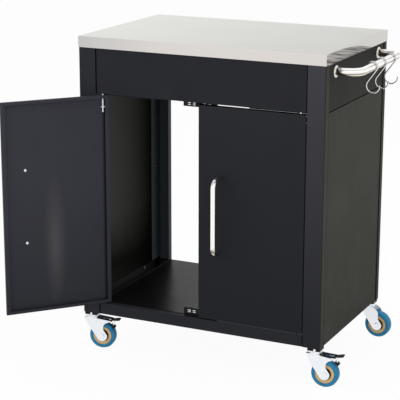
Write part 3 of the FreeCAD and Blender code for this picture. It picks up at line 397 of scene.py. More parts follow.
def brushed_sheet():
    """Folded stainless sheet brushed along its length, with painted reflection: tones that change across its top and
    front rim, and slanting streaks on its end rims.
    """
    steel = Finish("stainless_sheet", metallic=1.0)
    x, y, z = steel.cart_place()
    end_rim = steel.maths("GREATER_THAN", steel.maths("ABSOLUTE", x), TOP_REACH[0])
    front_rim = steel.maths("LESS_THAN", y, -TOP_REACH[1])
    along = steel.grain(0.0011, stretch=(120.0, 1.0, 1.0), detail=3.0)
    broad = steel.grain(0.03, stretch=(12.0, 1.0, 1.0), detail=2.0)
    sheen = steel.blend(0.5, broad, steel.grain(0.16, detail=2.0), kind="FLOAT")
    # Painted reflection: the top darkens and the front rim brightens from left to right
    top = steel.blend(steel.ranged(x, 0.0, 1.0, *TOP_SPREAD), TOP_LEFT, TOP_RIGHT)
    front = steel.blend(steel.ranged(x, 0.0, 1.0, *RIM_SPREAD), RIM_LEFT, RIM_RIGHT)
    # Painted reflection streaks on the end rims, below a wavy edge that falls towards the back
    back = steel.maths("SUBTRACT", y, REFLECTION_STREAKS_FROM)
    fall = steel.maths("MULTIPLY", back, steel.maths("ADD", steel.maths("MULTIPLY", back, REFLECTION_STREAKS_CURVE), REFLECTION_STREAKS_FALL))
    clear = steel.ranged(steel.maths("ADD", steel.maths("SUBTRACT", z, REFLECTION_STREAKS_TOP), fall), 0.0, 1.0,
                         -REFLECTION_STREAKS_BLUR, REFLECTION_STREAKS_BLUR)
    slanted = steel.add("ShaderNodeMapping", {"Vector": steel.spot, "Rotation": (math.radians(REFLECTION_STREAKS_SLANT), 0, 0)})
    # marks: the dark and light painted reflection streaks, slanting along the end rims
    marks = steel.grain(0.0030, stretch=(1.0, 55.0, 1.0), detail=2.5, spot=slanted)
    side = steel.blend(clear, steel.shade(marks, REFLECTION_STREAK_DARK, REFLECTION_STREAK_LIGHT, start=0.44, end=0.60), SIDE_CLEAR)
    colour = steel.blend(end_rim, steel.blend(front_rim, top, front), side)
    clouded = steel.add("ShaderNodeVectorMath", {0: colour, "Scale": steel.ranged(sheen, 0.975, 1.025)},
                        operation="SCALE")
    steel.relief((along, 0.000010))
    return steel.put(base_color=clouded, roughness=steel.ranged(sheen, 0.28, 0.40))


def galvanised_sheet():
    """Plain zinc-coated sheet with its large crystals."""
    zinc = Finish("galvanised_sheet", metallic=1.0)
    spangle = zinc.cells(0.009)
    return zinc.put(base_color=zinc.shade(spangle, (0.42, 0.44, 0.46), (0.60, 0.62, 0.64), 0.1, 0.9),
                    roughness=zinc.ranged(spangle, 0.35, 0.55, 0.1, 0.9))


def plain_metal(name, low, high, smooth, rough, patch, detail=2.0, fine=None, start=0.3, end=0.7):
    """Metal whose tone and shine drift in patches of the given size, over a fine texture: (size, depth)."""
    metal = Finish(name, metallic=1.0)
    cloud = metal.grain(patch, detail=detail)
    if fine:
        metal.relief((metal.grain(fine[0], detail=1.0), fine[1]))
    return metal.put(base_color=metal.shade(cloud, low, high, start, end),
                     roughness=metal.ranged(cloud, smooth, rough))


def bent_tube():
    """Polished stainless tube: fine lines along it, and a painted reflection: bright above, with dark bands, and
    browner on the side turned to the ground.
    """
    tube = Finish("stainless_tube", metallic=1.0)
    run = tube.add("ShaderNodeAttribute", {}, output=2, attribute_name="run")
    turn = tube.add("ShaderNodeAttribute", {}, output=2, attribute_name="turn")
    wrap = tube.vector(run, turn)
    lines = tube.grain(1.0, stretch=(0.09, 0.012, 1.0), detail=3.0, spot=wrap)
    streaks = tube.grain(1.0, stretch=(0.16, 0.045, 1.0), detail=2.0, spot=wrap)
    tube.relief((lines, 0.000008))
    # Painted reflection: the tone follows how far the surface faces up, waved by the streaks
    facing = tube.split(tube.add("ShaderNodeTexCoord", output=1))[2]
    wavy = tube.maths("ADD", facing, tube.ranged(streaks, -0.16, 0.16))
    return tube.put(base_color=tube.ramp(tube.ranged(wavy, 0.0, 1.0, -1.0, 1.0), TUBE_REFLECTION_TONES),
                    roughness=tube.ranged(streaks, 0.16, 0.07))


def moulded(name, low, high, smooth, rough, shine, texture):
    """Moulded plastic or rubber with a fine grained skin."""
    plastic = Finish(name, shine=shine)
    cloud = plastic.grain(0.02, detail=3.0)
    skin = plastic.grain(texture, detail=1.0)
    plastic.relief((skin, texture * 0.03))
    return plastic.put(base_color=plastic.shade(cloud, low, high), roughness=plastic.ranged(cloud, smooth, rough))


# Tints of the coats' shine, painted colour of the light they reflect: cool on the front and the doors, olive on the
# sides
COOL = (0.84, 0.86, 1.0)
OLIVE = (1.0, 0.99, 0.88)
PLAIN = (0.98, 0.98, 1.0)

# Painted reflection on the tubes: tones from the side turned to the ground up to the top, with dark bands
TUBE_REFLECTION_TONES = ((0.0, (0.80, 0.80, 0.66)), (0.20, (0.74, 0.73, 0.60)), (0.28, (0.20, 0.16, 0.13)),
              (0.35, (0.28, 0.23, 0.19)), (0.40, (0.62, 0.56, 0.51)), (0.45, (0.98, 0.97, 0.93)),
              (0.74, (0.97, 0.96, 0.93)), (0.80, (0.30, 0.27, 0.24)), (0.87, (0.97, 0.96, 0.94)))

# Zones of the coats: the two tones and the shine, then how they fade towards the foot (by height) and from the front
# to the back (by depth), each as its start, its end and the tone and shine that it comes from; the fades are painted
# shade, darkening the foot and the back
Fade = namedtuple("Fade", "start end tone shine")
Zone = namedtuple("Zone", "low high shine foot deep", defaults=(None, None))
BLACK = Zone((0.0178, 0.0184, 0.0222), (0.0220, 0.0227, 0.0270), 0.105)
# Doors: painted shade, darker towards the foot
DOOR = Zone((0.0188, 0.0194, 0.0232), (0.0226, 0.0233, 0.0275), 0.11,
            foot=Fade(0.16, 0.75, (0.0150, 0.0157, 0.0190), 0.09))
# Sides: a paler olive copy of the black coat, painted light where the sides catch it, with painted shade at the foot
SIDE = Zone((0.0285, 0.0283, 0.0226), (0.0332, 0.0329, 0.0264), 0.078,
            foot=Fade(0.08, 0.50, (0.0215, 0.0214, 0.0170), 0.060))
# Sides' inner faces: painted light near the top and front, painted shade towards the foot and the back
SIDE_INSIDE = Zone((0.0380, 0.0378, 0.0312), (0.0440, 0.0437, 0.0362), 0.085,
                   foot=Fade(0.205, 0.350, (0.0100, 0.0100, 0.0088), 0.010),
                   deep=Fade(0.20, -0.06, (0.0020, 0.0022, 0.0020), 0.0))
SIDE_TOP = Zone((0.0150, 0.0151, 0.0138), (0.0185, 0.0186, 0.0170), 0.062)
# Side aprons' inner faces: darker, painted shade inside the cabinet
SIDE_TOP_INSIDE = Zone((0.0100, 0.0100, 0.0090), (0.0120, 0.0120, 0.0108), 0.02)
LEFT_POST = Zone((0.0215, 0.0222, 0.0268), (0.0260, 0.0268, 0.0318), 0.11)
# Right post's front: painted sheen, paler at the top and fading to the foot
POST = Zone((0.0485, 0.0487, 0.0560), (0.0530, 0.0532, 0.0610), 0.11,
            foot=Fade(0.16, 0.88, (0.0185, 0.0191, 0.0232), 0.10))
# Rear posts' inner faces: paler, painted light on faces that lie in shade
REAR_INSIDE = Zone((0.0560, 0.0660, 0.0730), (0.0640, 0.0750, 0.0830), 0.10)
# Opened door's inner side: paler and bluer, painted light where it faces the light, with painted shade at the foot
LEFT_DOOR = Zone((0.0395, 0.0405, 0.0505), (0.0455, 0.0467, 0.0575), 0.12,
                 foot=Fade(0.12, 0.50, (0.0265, 0.0275, 0.0335), 0.11))
SHELF = Zone((0.0042, 0.0045, 0.0052), (0.0060, 0.0063, 0.0070), 0.085)
# Side foot rails: darker, painted shade inside the cabinet
SHADED_FOOT_RAIL = Zone((0.0055, 0.0057, 0.0062), (0.0078, 0.0080, 0.0088), 0.03)
LEVER = Zone((0.006, 0.006, 0.006), (0.010, 0.010, 0.011), 0.3)
CLOUD_SIZE = 0.11
SIDE_GLOSS = (0.48, 0.58)

# Reach of the cabinet's inside from the cart's middle, past which a sheet shows its outer zone
CABINET = (0.3627, 0.2406)
POST_INSIDE = (0.3627, 2.0)
ZONE_BLUR = 0.0004

# Painted shadow in the seams at the ends of the sheets' open spans: axis, low end, high end and the seam's reach
DOOR_SEAM_SHADOWS = {2: (0.05, 0.7505, 0.0018)}
FRONT_SEAM_SHADOWS = {0: (-0.3128, 0.3128, 0.0022)}
PANEL_SEAM_SHADOWS = {1: (-0.2105, 0.2195, 0.0025), 2: (0.05, 0.7537, 0.0012)}
SIDE_TOP_SEAM_SHADOWS = {1: (-0.2105, 0.2195, 0.0025), 2: (0.7547, 1.0, 0.0010)}
SEAM_SHADOW_CORE = 0.6
SEAM_SHADOW_TONE = (0.001, 0.001, 0.001, 1.0)

# Opened door's inner side: the painted shadow in the fold by its hinge, and the middle and reach of its painted
# highlight patch
FOLD_SHADOW_EDGE = (-0.305, -0.291)
FOLD_SHADOW_TONE = (0.0035, 0.0035, 0.0040, 1.0)
HIGHLIGHT_PATCH = ((-0.150, 0.034), (-0.2385, 0.2), (0.350, 0.20))
HIGHLIGHT_TONE = (0.080, 0.078, 0.080, 1.0)

FINISHES = {
    "stainless_sheet": brushed_sheet(),
    "galvanised_sheet": galvanised_sheet(),
    "black_powder_coat": powder_coat("black_powder_coat", BLACK, COOL),
    "door_coat": powder_coat("door_coat", DOOR, COOL, spans=DOOR_SEAM_SHADOWS),
    "shelf_coat": powder_coat("shelf_coat", SHELF, PLAIN, gloss=(0.26, 0.34)),
    "black_screw": plain_metal("black_screw", (0.05, 0.05, 0.055), (0.24, 0.24, 0.25),
                               smooth=0.26, rough=0.42, patch=0.0012, start=0.35, end=0.75),
    "lever_paint": powder_coat("lever_paint", LEVER, PLAIN, gloss=(0.28, 0.42)),
    "black_plastic": moulded("black_plastic", (0.005, 0.005, 0.005), (0.009, 0.009, 0.009),
                             smooth=0.38, rough=0.52, shine=0.15, texture=0.0009),
    "zinc_plate": plain_metal("zinc_plate", (0.84, 0.87, 0.91), (0.93, 0.95, 0.98),
                              smooth=0.34, rough=0.44, patch=0.006, detail=3.0, fine=(0.0006, 0.0000008)),
    "stainless_tube": bent_tube(),
    "chrome_wire": plain_metal("chrome_wire", (0.60, 0.60, 0.60), (0.78, 0.78, 0.77),
                               smooth=0.08, rough=0.16, patch=0.012),
    "blue_tread": moulded("blue_tread", (0.016, 0.200, 0.380), (0.027, 0.250, 0.465),
                          smooth=0.45, rough=0.60, shine=0.30, texture=0.0007),
    "beige_plastic": moulded("beige_plastic", (0.680, 0.460, 0.200), (0.800, 0.560, 0.260),
                             smooth=0.35, rough=0.48, shine=0.4, texture=0.0011),
}

# Nodes whose finish differs from the rest of their slot
OWN_FINISHES = {
    "front_left_post": powder_coat("left_post_coat", LEFT_POST, COOL),
    "front_apron": powder_coat("front_apron_coat", BLACK, COOL, spans=FRONT_SEAM_SHADOWS),
    "front_right_post": powder_coat("right_post_coat", SIDE, COOL, bound=POST_INSIDE, inner=POST),
    "left_door_pan": opened_door_coat(),
    "handle_rosettes": plain_metal("turned_steel", (0.66, 0.64, 0.61), (0.84, 0.82, 0.79),
                                   smooth=0.10, rough=0.18, patch=0.01, fine=(0.0008, 0.000004)),
    "side_bottom_rails": powder_coat("foot_rail_coat", SHADED_FOOT_RAIL, COOL),
}
OWN_FINISHES["front_bottom_rail"] = OWN_FINISHES["front_apron"]
for side in ("left", "right"):
    for node, zone, tint, changes in (
            (f"{side}_side_panel", SIDE, OLIVE, {"gloss": SIDE_GLOSS, "inner": SIDE_INSIDE, "spans": PANEL_SEAM_SHADOWS}),
            (f"{side}_apron", SIDE_TOP, OLIVE,
             {"gloss": SIDE_GLOSS, "inner": SIDE_TOP_INSIDE, "spans": SIDE_TOP_SEAM_SHADOWS}),
            (f"rear_{side}_post", SIDE, PLAIN, {"inner": REAR_INSIDE, "back": BLACK})):
        OWN_FINISHES[node] = powder_coat(f"{node}_coat", zone, tint, bound=CABINET, **changes)


def finish_of(node):
    """The node's own finish, or its slot's."""
    return OWN_FINISHES.get(node, FINISHES[slot_of[node]])


def placed(name, data):
    """An object of the scene that carries the data."""
    thing = bpy.data.objects.new(name, data)
    scene.collection.objects.link(thing)
    return thing


def piece(name, mesh, finish, stands_for):
    """A finished piece that rides where the solid it stands for rides."""
    thing = placed(name, mesh)
    mesh.materials.clear()
    mesh.materials.append(finish)
    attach(thing, body_of[stands_for])
    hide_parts(stands_for)
    return thing


def plain_mesh(carrier):
    """The mesh that the carrier's modifiers give, with the carrier taken away."""
    name = carrier.name
    mesh = bpy.data.meshes.new_from_object(carrier.evaluated_get(bpy.context.evaluated_depsgraph_get()))
    carrier.modifiers.clear()
    bpy.data.objects.remove(carrier)
    mesh.name = name
    return mesh


def rounded(name, mesh, edge, steps):
    """The mesh with its weighted edges rounded and its large faces shaded flat, as a plain mesh."""
    carrier = placed(name, mesh)
    bevel = carrier.modifiers.new("rounded_edges", "BEVEL")
    bevel.width = edge
    bevel.segments = steps
    bevel.limit_method = "WEIGHT"
    bevel.use_clamp_overlap = False
    bevel.miter_outer = "MITER_SHARP"
    flat = carrier.modifiers.new("flat_faces", "WEIGHTED_NORMAL")
    flat.weight = 100
    flat.keep_sharp = True
    return plain_mesh(carrier)


def mesh_of(form, name):
    """The form as a mesh, with the form set free."""
    mesh = bpy.data.meshes.new(name)
    form.to_mesh(mesh)
    form.free()
    return mesh


def islands(form):
    """Groups of vertices that hang together, in the order of the solid."""
    reached = set()
    groups = []
    for start in form.verts:
        if start in reached:
            continue
        reached.add(start)
        group = [start]
        for vertex in group:
            for line in vertex.link_edges:
                other = line.other_vert(vertex)
                if other not in reached:
                    reached.add(other)
                    group.append(other)
        groups.append(group)
    return groups


def middle_of(island):
    """Mean place of a group of vertices."""
    return sum((vertex.co for vertex in island), Vector()) / len(island)


def merged(node):
    """A node's solid with its corners merged."""
    form = bmesh.new()
    form.from_mesh(solids[node].data)
    bmesh.ops.remove_doubles(form, verts=form.verts, dist=MERGE_REACH)
    return form


def softened(node, edge, finish=None, name=None, picks=None, shortest=0.004):
    """The node's solid, or its parts that the test picks, with sharp edges rounded off as a folded sheet has them."""
    form = merged(node)
    if picks:
        for island in islands(form):
            if not picks(middle_of(island)):
                bmesh.ops.delete(form, geom=island, context="VERTS")
    bmesh.ops.dissolve_limit(form, angle_limit=math.radians(FLAT_ANGLE), verts=form.verts, edges=form.edges)
    weight = form.edges.layers.float.new("bevel_weight_edge")
    for line in form.edges:
        if len(line.link_faces) == 2 and line.calc_face_angle() > math.radians(SHARP_ANGLE):
            if line.calc_length() > shortest:
                line[weight] = 1.0
            else:
                line.smooth = False
    for face in form.faces:
        face.smooth = True
    name = name or node + "_soft"
    return piece(name, rounded(name, mesh_of(form, name), edge, EDGE_STEPS), finish or finish_of(node), node)


def shaded(mesh, angle=38.0):
    """Smooth faces with sharp edges past the angle."""
    mesh.polygons.foreach_set("use_smooth", [True] * len(mesh.polygons))
    mesh.set_sharp_from_angle(angle=math.radians(angle))
    return mesh


class FormTree(Network):
    """A geometry tree with named sizes that ends in real faces with a finish."""

    def __init__(self, name, sizes):
        super().__init__(bpy.data.node_groups.new(name, "GeometryNodeTree"))
        face = self.tree.interface
        face.new_socket(name="Form", in_out="INPUT", socket_type="NodeSocketGeometry")
        for size in sizes:
            kind = "NodeSocketInt" if size.endswith(("Steps", "Count")) else "NodeSocketFloat"
            face.new_socket(name=size, in_out="INPUT", socket_type=kind)
        face.new_socket(name="Finish", in_out="INPUT", socket_type="NodeSocketMaterial")
        face.new_socket(name="Form", in_out="OUTPUT", socket_type="NodeSocketGeometry")
        self.given = self.tree.nodes.new("NodeGroupInput").outputs

    def close(self, form):
        """Realise what is repeated, give it the finish and send it out."""
        real = self.add("GeometryNodeRealizeInstances", {"Geometry": form})
        done = self.add("GeometryNodeSetMaterial", {"Geometry": real, "Material": self.given["Finish"]})
        self.feed(self.tree.nodes.new("NodeGroupOutput").inputs["Form"], done)
        return self.tree


def grown(name, tree, finish, base=None, **sizes):
    """The plain mesh that a geometry tree makes from a base mesh and its named sizes."""
    carrier = placed(name, base or bpy.data.meshes.new(name))
    modifier = carrier.modifiers.new(name, "NODES")
    modifier.node_group = tree
    wanted = {key.replace("_", " ").title(): value for key, value in sizes.items()}
    wanted["Finish"] = finish
    for item in tree.interface.items_tree:
        if item.in_out == "INPUT" and item.name in wanted:
            modifier[item.identifier] = wanted[item.name]
    return plain_mesh(carrier)


def bow_tree():
    """Tube bent twice to a bow: two feet a pitch apart, standing off by the same reach."""
    bow = FormTree("bent_bow", ["Pitch", "Standoff", "Bend", "Tube Radius", "Bend Steps", "Round Steps"])
    given = bow.given
    corners = bow.add("GeometryNodeMeshLine", {"Count": 4}, mode="OFFSET")
    index = bow.add("GeometryNodeInputIndex")
    far = bow.maths("GREATER_THAN", index, 1.5)
    out = bow.maths("LESS_THAN", bow.maths("ABSOLUTE", bow.maths("SUBTRACT", index, 1.5)), 1.0)
    spot = bow.vector(bow.maths("MULTIPLY", given["Pitch"], far), bow.maths("MULTIPLY", given["Standoff"], out))
    moved = bow.add("GeometryNodeSetPosition", {"Geometry": corners, "Position": spot})
    route = bow.add("GeometryNodeMeshToCurve", {"Mesh": moved})
    bent = bow.add("GeometryNodeFilletCurve", {"Curve": route, "Count": given["Bend Steps"],
                                               "Radius": given["Bend"]}, mode="POLY")
    return bow.close(swept_tube(bow, bent, given["Tube Radius"], given["Round Steps"]))


def swept_tube(tree, route, radius, steps, scale=None):
    """A round section carried along a route, with its length and turn kept for the finish."""
    def kept(form, name, value):
        return tree.add("GeometryNodeStoreNamedAttribute", {"Geometry": form, "Name": name, "Value": value},
                        data_type="FLOAT", domain="POINT")

    ring = tree.add("GeometryNodeCurvePrimitiveCircle", {"Resolution": steps, "Radius": radius})
    turn = tree.maths("ABSOLUTE", tree.maths("SUBTRACT", tree.add("GeometryNodeSplineParameter", output=0), 0.5))
    sockets = {"Curve": kept(route, "run", tree.add("GeometryNodeSplineParameter", output=1)),
               "Profile Curve": kept(ring, "turn", turn), "Fill Caps": True}
    if scale is not None:
        sockets["Scale"] = scale
    return tree.add("GeometryNodeCurveToMesh", sockets)


def wire_tree():
    """Wire that follows a route of edges and is rounded off at both ends."""
    wire = FormTree("rounded_wire", ["Wire Radius", "Step Length", "Round Steps"])
    given = wire.given
    route = wire.add("GeometryNodeMeshToCurve", {"Mesh": given["Form"]})
    even = wire.add("GeometryNodeResampleCurve", {"Curve": route, "Length": given["Step Length"]}, mode="LENGTH")
    run = wire.add("GeometryNodeSplineParameter", output=1)
    whole = wire.add("GeometryNodeSplineLength")
    to_end = wire.maths("MINIMUM", run, wire.maths("SUBTRACT", whole, run))
    share = wire.maths("MINIMUM", wire.maths("DIVIDE", to_end, given["Wire Radius"]), 1.0)
    inside = wire.maths("SUBTRACT", 1.0, share)
    dome = wire.maths("SQRT", wire.maths("SUBTRACT", 1.0, wire.maths("MULTIPLY", inside, inside)))
    scale = wire.maths("MAXIMUM", dome, WIRE_TIP)
    return wire.close(swept_tube(wire, even, given["Wire Radius"], given["Round Steps"], scale))


def spring_tree():
    """Coil spring of round wire."""
    spring = FormTree("coil_spring", ["Coil Radius", "Wire Radius", "Height", "Turns", "Turn Steps", "Round Steps"])
    given = spring.given
    coil = spring.add("GeometryNodeCurveSpiral", {"Resolution": given["Turn Steps"], "Rotations": given["Turns"],
                                                  "Start Radius": given["Coil Radius"],
                                                  "End Radius": given["Coil Radius"], "Height": given["Height"]})
    return spring.close(swept_tube(spring, coil, given["Wire Radius"], given["Round Steps"]))


def screw_tree():
    """Pan-head screws with a cross recess, one on each point, facing the way its attribute says."""
    screws = FormTree("cross_screws", ["Head Radius", "Head Height", "Recess Width", "Recess Length", "Recess Depth",
                                       "Shank Radius", "Shank Length", "Round Steps"])
    given = screws.given
    ball = screws.add("GeometryNodeMeshUVSphere", {"Segments": given["Round Steps"], "Rings": 12, "Radius": 1.0})
    x, y, z = screws.split(screws.add("GeometryNodeInputPosition"))
    rise = screws.maths("POWER", screws.maths("MAXIMUM", z, 0.0), SCREW_DOME)
    pan = screws.vector(screws.maths("MULTIPLY", x, given["Head Radius"]),
                        screws.maths("MULTIPLY", y, given["Head Radius"]),
                        screws.maths("MULTIPLY", rise, given["Head Height"]))
    head = screws.add("GeometryNodeSetPosition", {"Geometry": ball, "Position": pan})
    bar = screws.vector(given["Recess Length"], given["Recess Width"],
                        screws.maths("MULTIPLY", given["Recess Depth"], 2.0))
    slot = screws.add("GeometryNodeMeshCube", {"Size": bar})
    top = screws.vector(z=given["Head Height"])
    long_cut = screws.add("GeometryNodeTransform", {"Geometry": slot, "Translation": top})
    cross_cut = screws.add("GeometryNodeTransform", {"Geometry": slot, "Translation": top,
                                                     "Rotation": (0.0, 0.0, math.radians(90))})
    cut = screws.tree.nodes.new("GeometryNodeMeshBoolean")
    cut.operation = "DIFFERENCE"
    cut.solver = "EXACT"
    screws.feed(cut.inputs["Mesh 1"], head)
    screws.feed(cut.inputs["Mesh 2"], long_cut)
    screws.feed(cut.inputs["Mesh 2"], cross_cut)
    shank = screws.add("GeometryNodeMeshCylinder", {"Vertices": 12, "Radius": given["Shank Radius"],
                                                    "Depth": given["Shank Length"]})
    drop = screws.vector(z=screws.maths("MULTIPLY", given["Shank Length"], SHANK_SHIFT))
    sunk = screws.add("GeometryNodeTransform", {"Geometry": shank, "Translation": drop})
    whole = screws.tree.nodes.new("GeometryNodeJoinGeometry")
    screws.feed(whole.inputs[0], cut.outputs["Mesh"])
    screws.feed(whole.inputs[0], sunk)
    facing = screws.add("GeometryNodeInputNamedAttribute", {"Name": "facing"}, data_type="FLOAT_VECTOR")
    turn = screws.add("FunctionNodeAlignRotationToVector", {"Vector": facing}, axis="Z")
    index = screws.add("GeometryNodeInputIndex")
    spin = screws.vector(z=screws.maths("MULTIPLY", index, SCREW_SPIN))
    each = screws.add("FunctionNodeRotateRotation", {"Rotation": turn, "Rotate By": spin}, rotation_space="LOCAL")
    set_in = screws.add("GeometryNodeInstanceOnPoints", {"Points": given["Form"], "Instance": whole.outputs[0],
                                                         "Rotation": each})
    return screws.close(set_in)


def rib_tree():
    """Short ribs set round a ring."""
    ribs = FormTree("ring_ribs", ["Ring Radius", "Rib Length", "Rib Width", "Rib Height", "Rib Count"])
    given = ribs.given
    ring = ribs.add("GeometryNodeMeshCircle", {"Vertices": given["Rib Count"], "Radius": given["Ring Radius"]})
    size = ribs.vector(given["Rib Length"], given["Rib Width"], given["Rib Height"])
    bar = ribs.add("GeometryNodeMeshCube", {"Size": size})
    spot = ribs.add("GeometryNodeInputPosition")
    turn = ribs.add("FunctionNodeAlignRotationToVector", {"Vector": spot}, axis="X")
    set_in = ribs.add("GeometryNodeInstanceOnPoints", {"Points": ring, "Instance": bar, "Rotation": turn})
    return ribs.close(set_in)


def basis(x, y, place):
    """Matrix that lays local x and y along two directions at a place of the cart."""
    turn = Matrix((x, y, Vector(x).cross(Vector(y)))).transposed().to_4x4()
    return Matrix.Translation(CART_MIDDLE + Vector(place)) @ turn


def bent_handle(name, tree, node, tube, place, **sizes):
    """A tube bent to a bow, laid at its place."""
    finish = FINISHES["stainless_tube"]
    mesh = grown(name, tree, finish, bend_steps=BEND_STEPS[tube], round_steps=TUBE_STEPS[tube], **sizes)
    mesh.transform(place)
    piece(name, shaded(mesh), finish, node)


def bow_handles():
    """Side handle and the two door grips, each a tube bent to a bow."""
    tree = bow_tree()
    place = basis((0, 1, 0), (1, 0, 0), (BAR_FOOT_X, -BAR_PITCH / 2, BAR_Z))
    bent_handle("side_handle_tube", tree, "side_handle", "bar", place, pitch=BAR_PITCH, standoff=BAR_X - BAR_FOOT_X,
                bend=BAR_BEND, tube_radius=BAR_TUBE / 2)
    pivot = Matrix.Translation(CART_MIDDLE + LEFT_PIVOT)
    opened = pivot @ Matrix.Rotation(math.radians(LEFT_DOOR_ANGLE), 4, "Z") @ pivot.inverted()
    for side, name, turn in ((-1, "left", opened), (1, "right", Matrix())):
        place = turn @ basis((0, 0, 1), (0, -1, 0), (side * GRIP_X, DOOR_FRONT, GRIP_MIDDLE - GRIP_PITCH / 2))
        bent_handle(f"{name}_door_grip", tree, f"{name}_door_handle", "grip", place, pitch=GRIP_PITCH,
                    standoff=GRIP_STANDOFF, bend=GRIP_BEND, tube_radius=GRIP_TUBE / 2)


def hook_route():
    """Points of a hook about the bar's axis: over the bar, straight down and round to the lower opening."""
    gap = math.hypot(HOOK_SHIFT, HOOK_DROP)
    leave = math.degrees(math.acos((HOOK_UPPER + HOOK_LOWER) / gap) + math.atan2(HOOK_SHIFT, HOOK_DROP)) - 90.0
    points = []

    def arc(x, z, radius, start, end, steps):
        for step in range(steps + 1):
            angle = math.radians(start + (end - start) * step / steps)
            points.append(Vector((x + radius * math.cos(angle), 0.0, z + radius * math.sin(angle))))

    arc(0.0, 0.0, HOOK_UPPER, HOOK_TIP_ANGLE, leave, steps=40)
    arc(HOOK_SHIFT, -HOOK_DROP, HOOK_LOWER, leave + 180.0, HOOK_END_ANGLE + 360.0, steps=48)
    weight = Vector()
    length = 0.0
    for first, second in zip(points, points[1:]):
        step = (second - first).length
        weight += (first + second) / 2 * step
        length += step
    weight /= length
    hang = Matrix.Rotation(math.atan2(weight.x, -weight.z), 4, "Y")
    return [hang @ point for point in points]


def wire_hooks():
    """Three hooks of bright wire that hang on the side handle."""
    tree = wire_tree()
    route = hook_route()
    for number, y in enumerate(HOOK_PLACES, 1):
        base = bpy.data.meshes.new("hook_route")
        base.from_pydata(route, [(step, step + 1) for step in range(len(route) - 1)], [])
        wire = grown(f"hook_{number}_wire", tree, FINISHES["chrome_wire"], base, wire_radius=HOOK_WIRE / 2,
                     step_length=HOOK_STEP, round_steps=TUBE_STEPS["wire"])
        wire.transform(Matrix.Translation(CART_MIDDLE + Vector((BAR_X, y, BAR_Z))))
        piece(f"hook_{number}_wire", shaded(wire), FINISHES["chrome_wire"], f"hook_{number}")


def pin_springs():
    """Springs round the upper pivots, which the pins' collars press down."""
    tree = spring_tree()
    for name in ("left", "right"):
        low, high = (Vector(corner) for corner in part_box(f"{name}_pin_spring"))
        middle = (low + high) / 2
        coil = grown(f"{name}_pivot_spring", tree, FINISHES["zinc_plate"], coil_radius=SPRING_RADIUS,
                     wire_radius=SPRING_WIRE / 2, height=high.z - low.z - SPRING_WIRE, turns=float(SPRING_TURNS),
                     turn_steps=SPRING_TURN_STEPS, round_steps=TUBE_STEPS["spring"])
        coil.transform(Matrix.Translation((middle.x, middle.y, low.z + SPRING_WIRE / 2)))
        spring = piece(f"{name}_pivot_spring", shaded(coil), FINISHES["zinc_plate"], f"{name}_pin_spring")
        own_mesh(spring)


def screw_seats(node):
    """Seat and outward direction of each screw in a node, read from its solid."""
    form = merged(node)
    seats = []
    for island in islands(form):
        middle = middle_of(island)
        flats = {}
        for face in {face: None for vertex in island for face in vertex.link_faces}:
            way = tuple(round(value, 2) + 0.0 for value in face.normal)
            flats[way] = flats.get(way, 0.0) + face.calc_area()
        axis = Vector(max(flats, key=flats.get)).normalized()
        heights = [(vertex.co - middle).dot(axis) for vertex in island]
        widths = [(vertex.co - middle - axis * height).length for vertex, height in zip(island, heights)]
        top, foot = (max(width for height, width in zip(heights, widths) if abs(height - end) < SCREW_END)
                     for end in (max(heights), min(heights)))
        if top <= foot:
            axis, heights = -axis, [-height for height in heights]
        seat = min(height for height, width in zip(heights, widths) if width > SCREW_WIDEST_SHANK)
        core = sum((vertex.co - axis * height for vertex, height in zip(island, heights)), Vector()) / len(island)
        seats.append((core + axis * seat, axis))
    form.free()
    return seats


def cross_screws():
    """Screws of the frame and of the door grips, with their recesses."""
    tree = screw_tree()
    for node, shank in SCREW_SHANKS.items():
        seats = screw_seats(node)
        base = bpy.data.meshes.new(node)
        base.from_pydata([seat for seat, outward in seats], [], [])
        facing = base.attributes.new("facing", "FLOAT_VECTOR", "POINT")
        facing.data.foreach_set("vector", [value for seat, outward in seats for value in outward])
        mesh = grown(f"{node}_crossed", tree, finish_of(node), base, shank_length=shank, **SCREW_SIZES)
        piece(f"{node}_crossed", shaded(mesh, angle=35.0), finish_of(node), node)


def spun(name, outline):
    """A ring turned from an outline of (radius, across) points about the Y axis."""
    form = bmesh.new()
    rows = []
    for step in range(WHEEL_STEPS):
        angle = 2 * math.pi * step / WHEEL_STEPS
        rows.append([form.verts.new((radius * math.cos(angle), across, radius * math.sin(angle)))
                     for radius, across in outline])
    for first, second in zip(rows, rows[1:] + rows[:1]):
        for place in range(len(outline)):
            following = (place + 1) % len(outline)
            form.faces.new((first[place], first[following], second[following], second[place]))
    bmesh.ops.recalc_face_normals(form, faces=form.faces)
    return mesh_of(form, name)


def mirrored(half):
    """The half section and its mirror image across the wheel."""
    return half + [(radius, -across) for radius, across in reversed(half)]


def tyre_half():
    """Half section of the tread: face with a groove, round shoulder and the mould's parting ridge."""
    shoulder = []
    for step in range(SHOULDER_STEPS + 1):
        angle = math.radians(90.0 * step / SHOULDER_STEPS)
        shoulder.append((WHEEL_RADIUS + TYRE_SHOULDER * (math.sin(angle) - 1.0),
                         TYRE_HALF + TYRE_SHOULDER * (math.cos(angle) - 1.0)))
    shoulder[-1] = (TYRE_RIDGE[0][0], shoulder[-1][1])
    return TYRE_FACE + shoulder + TYRE_RIDGE


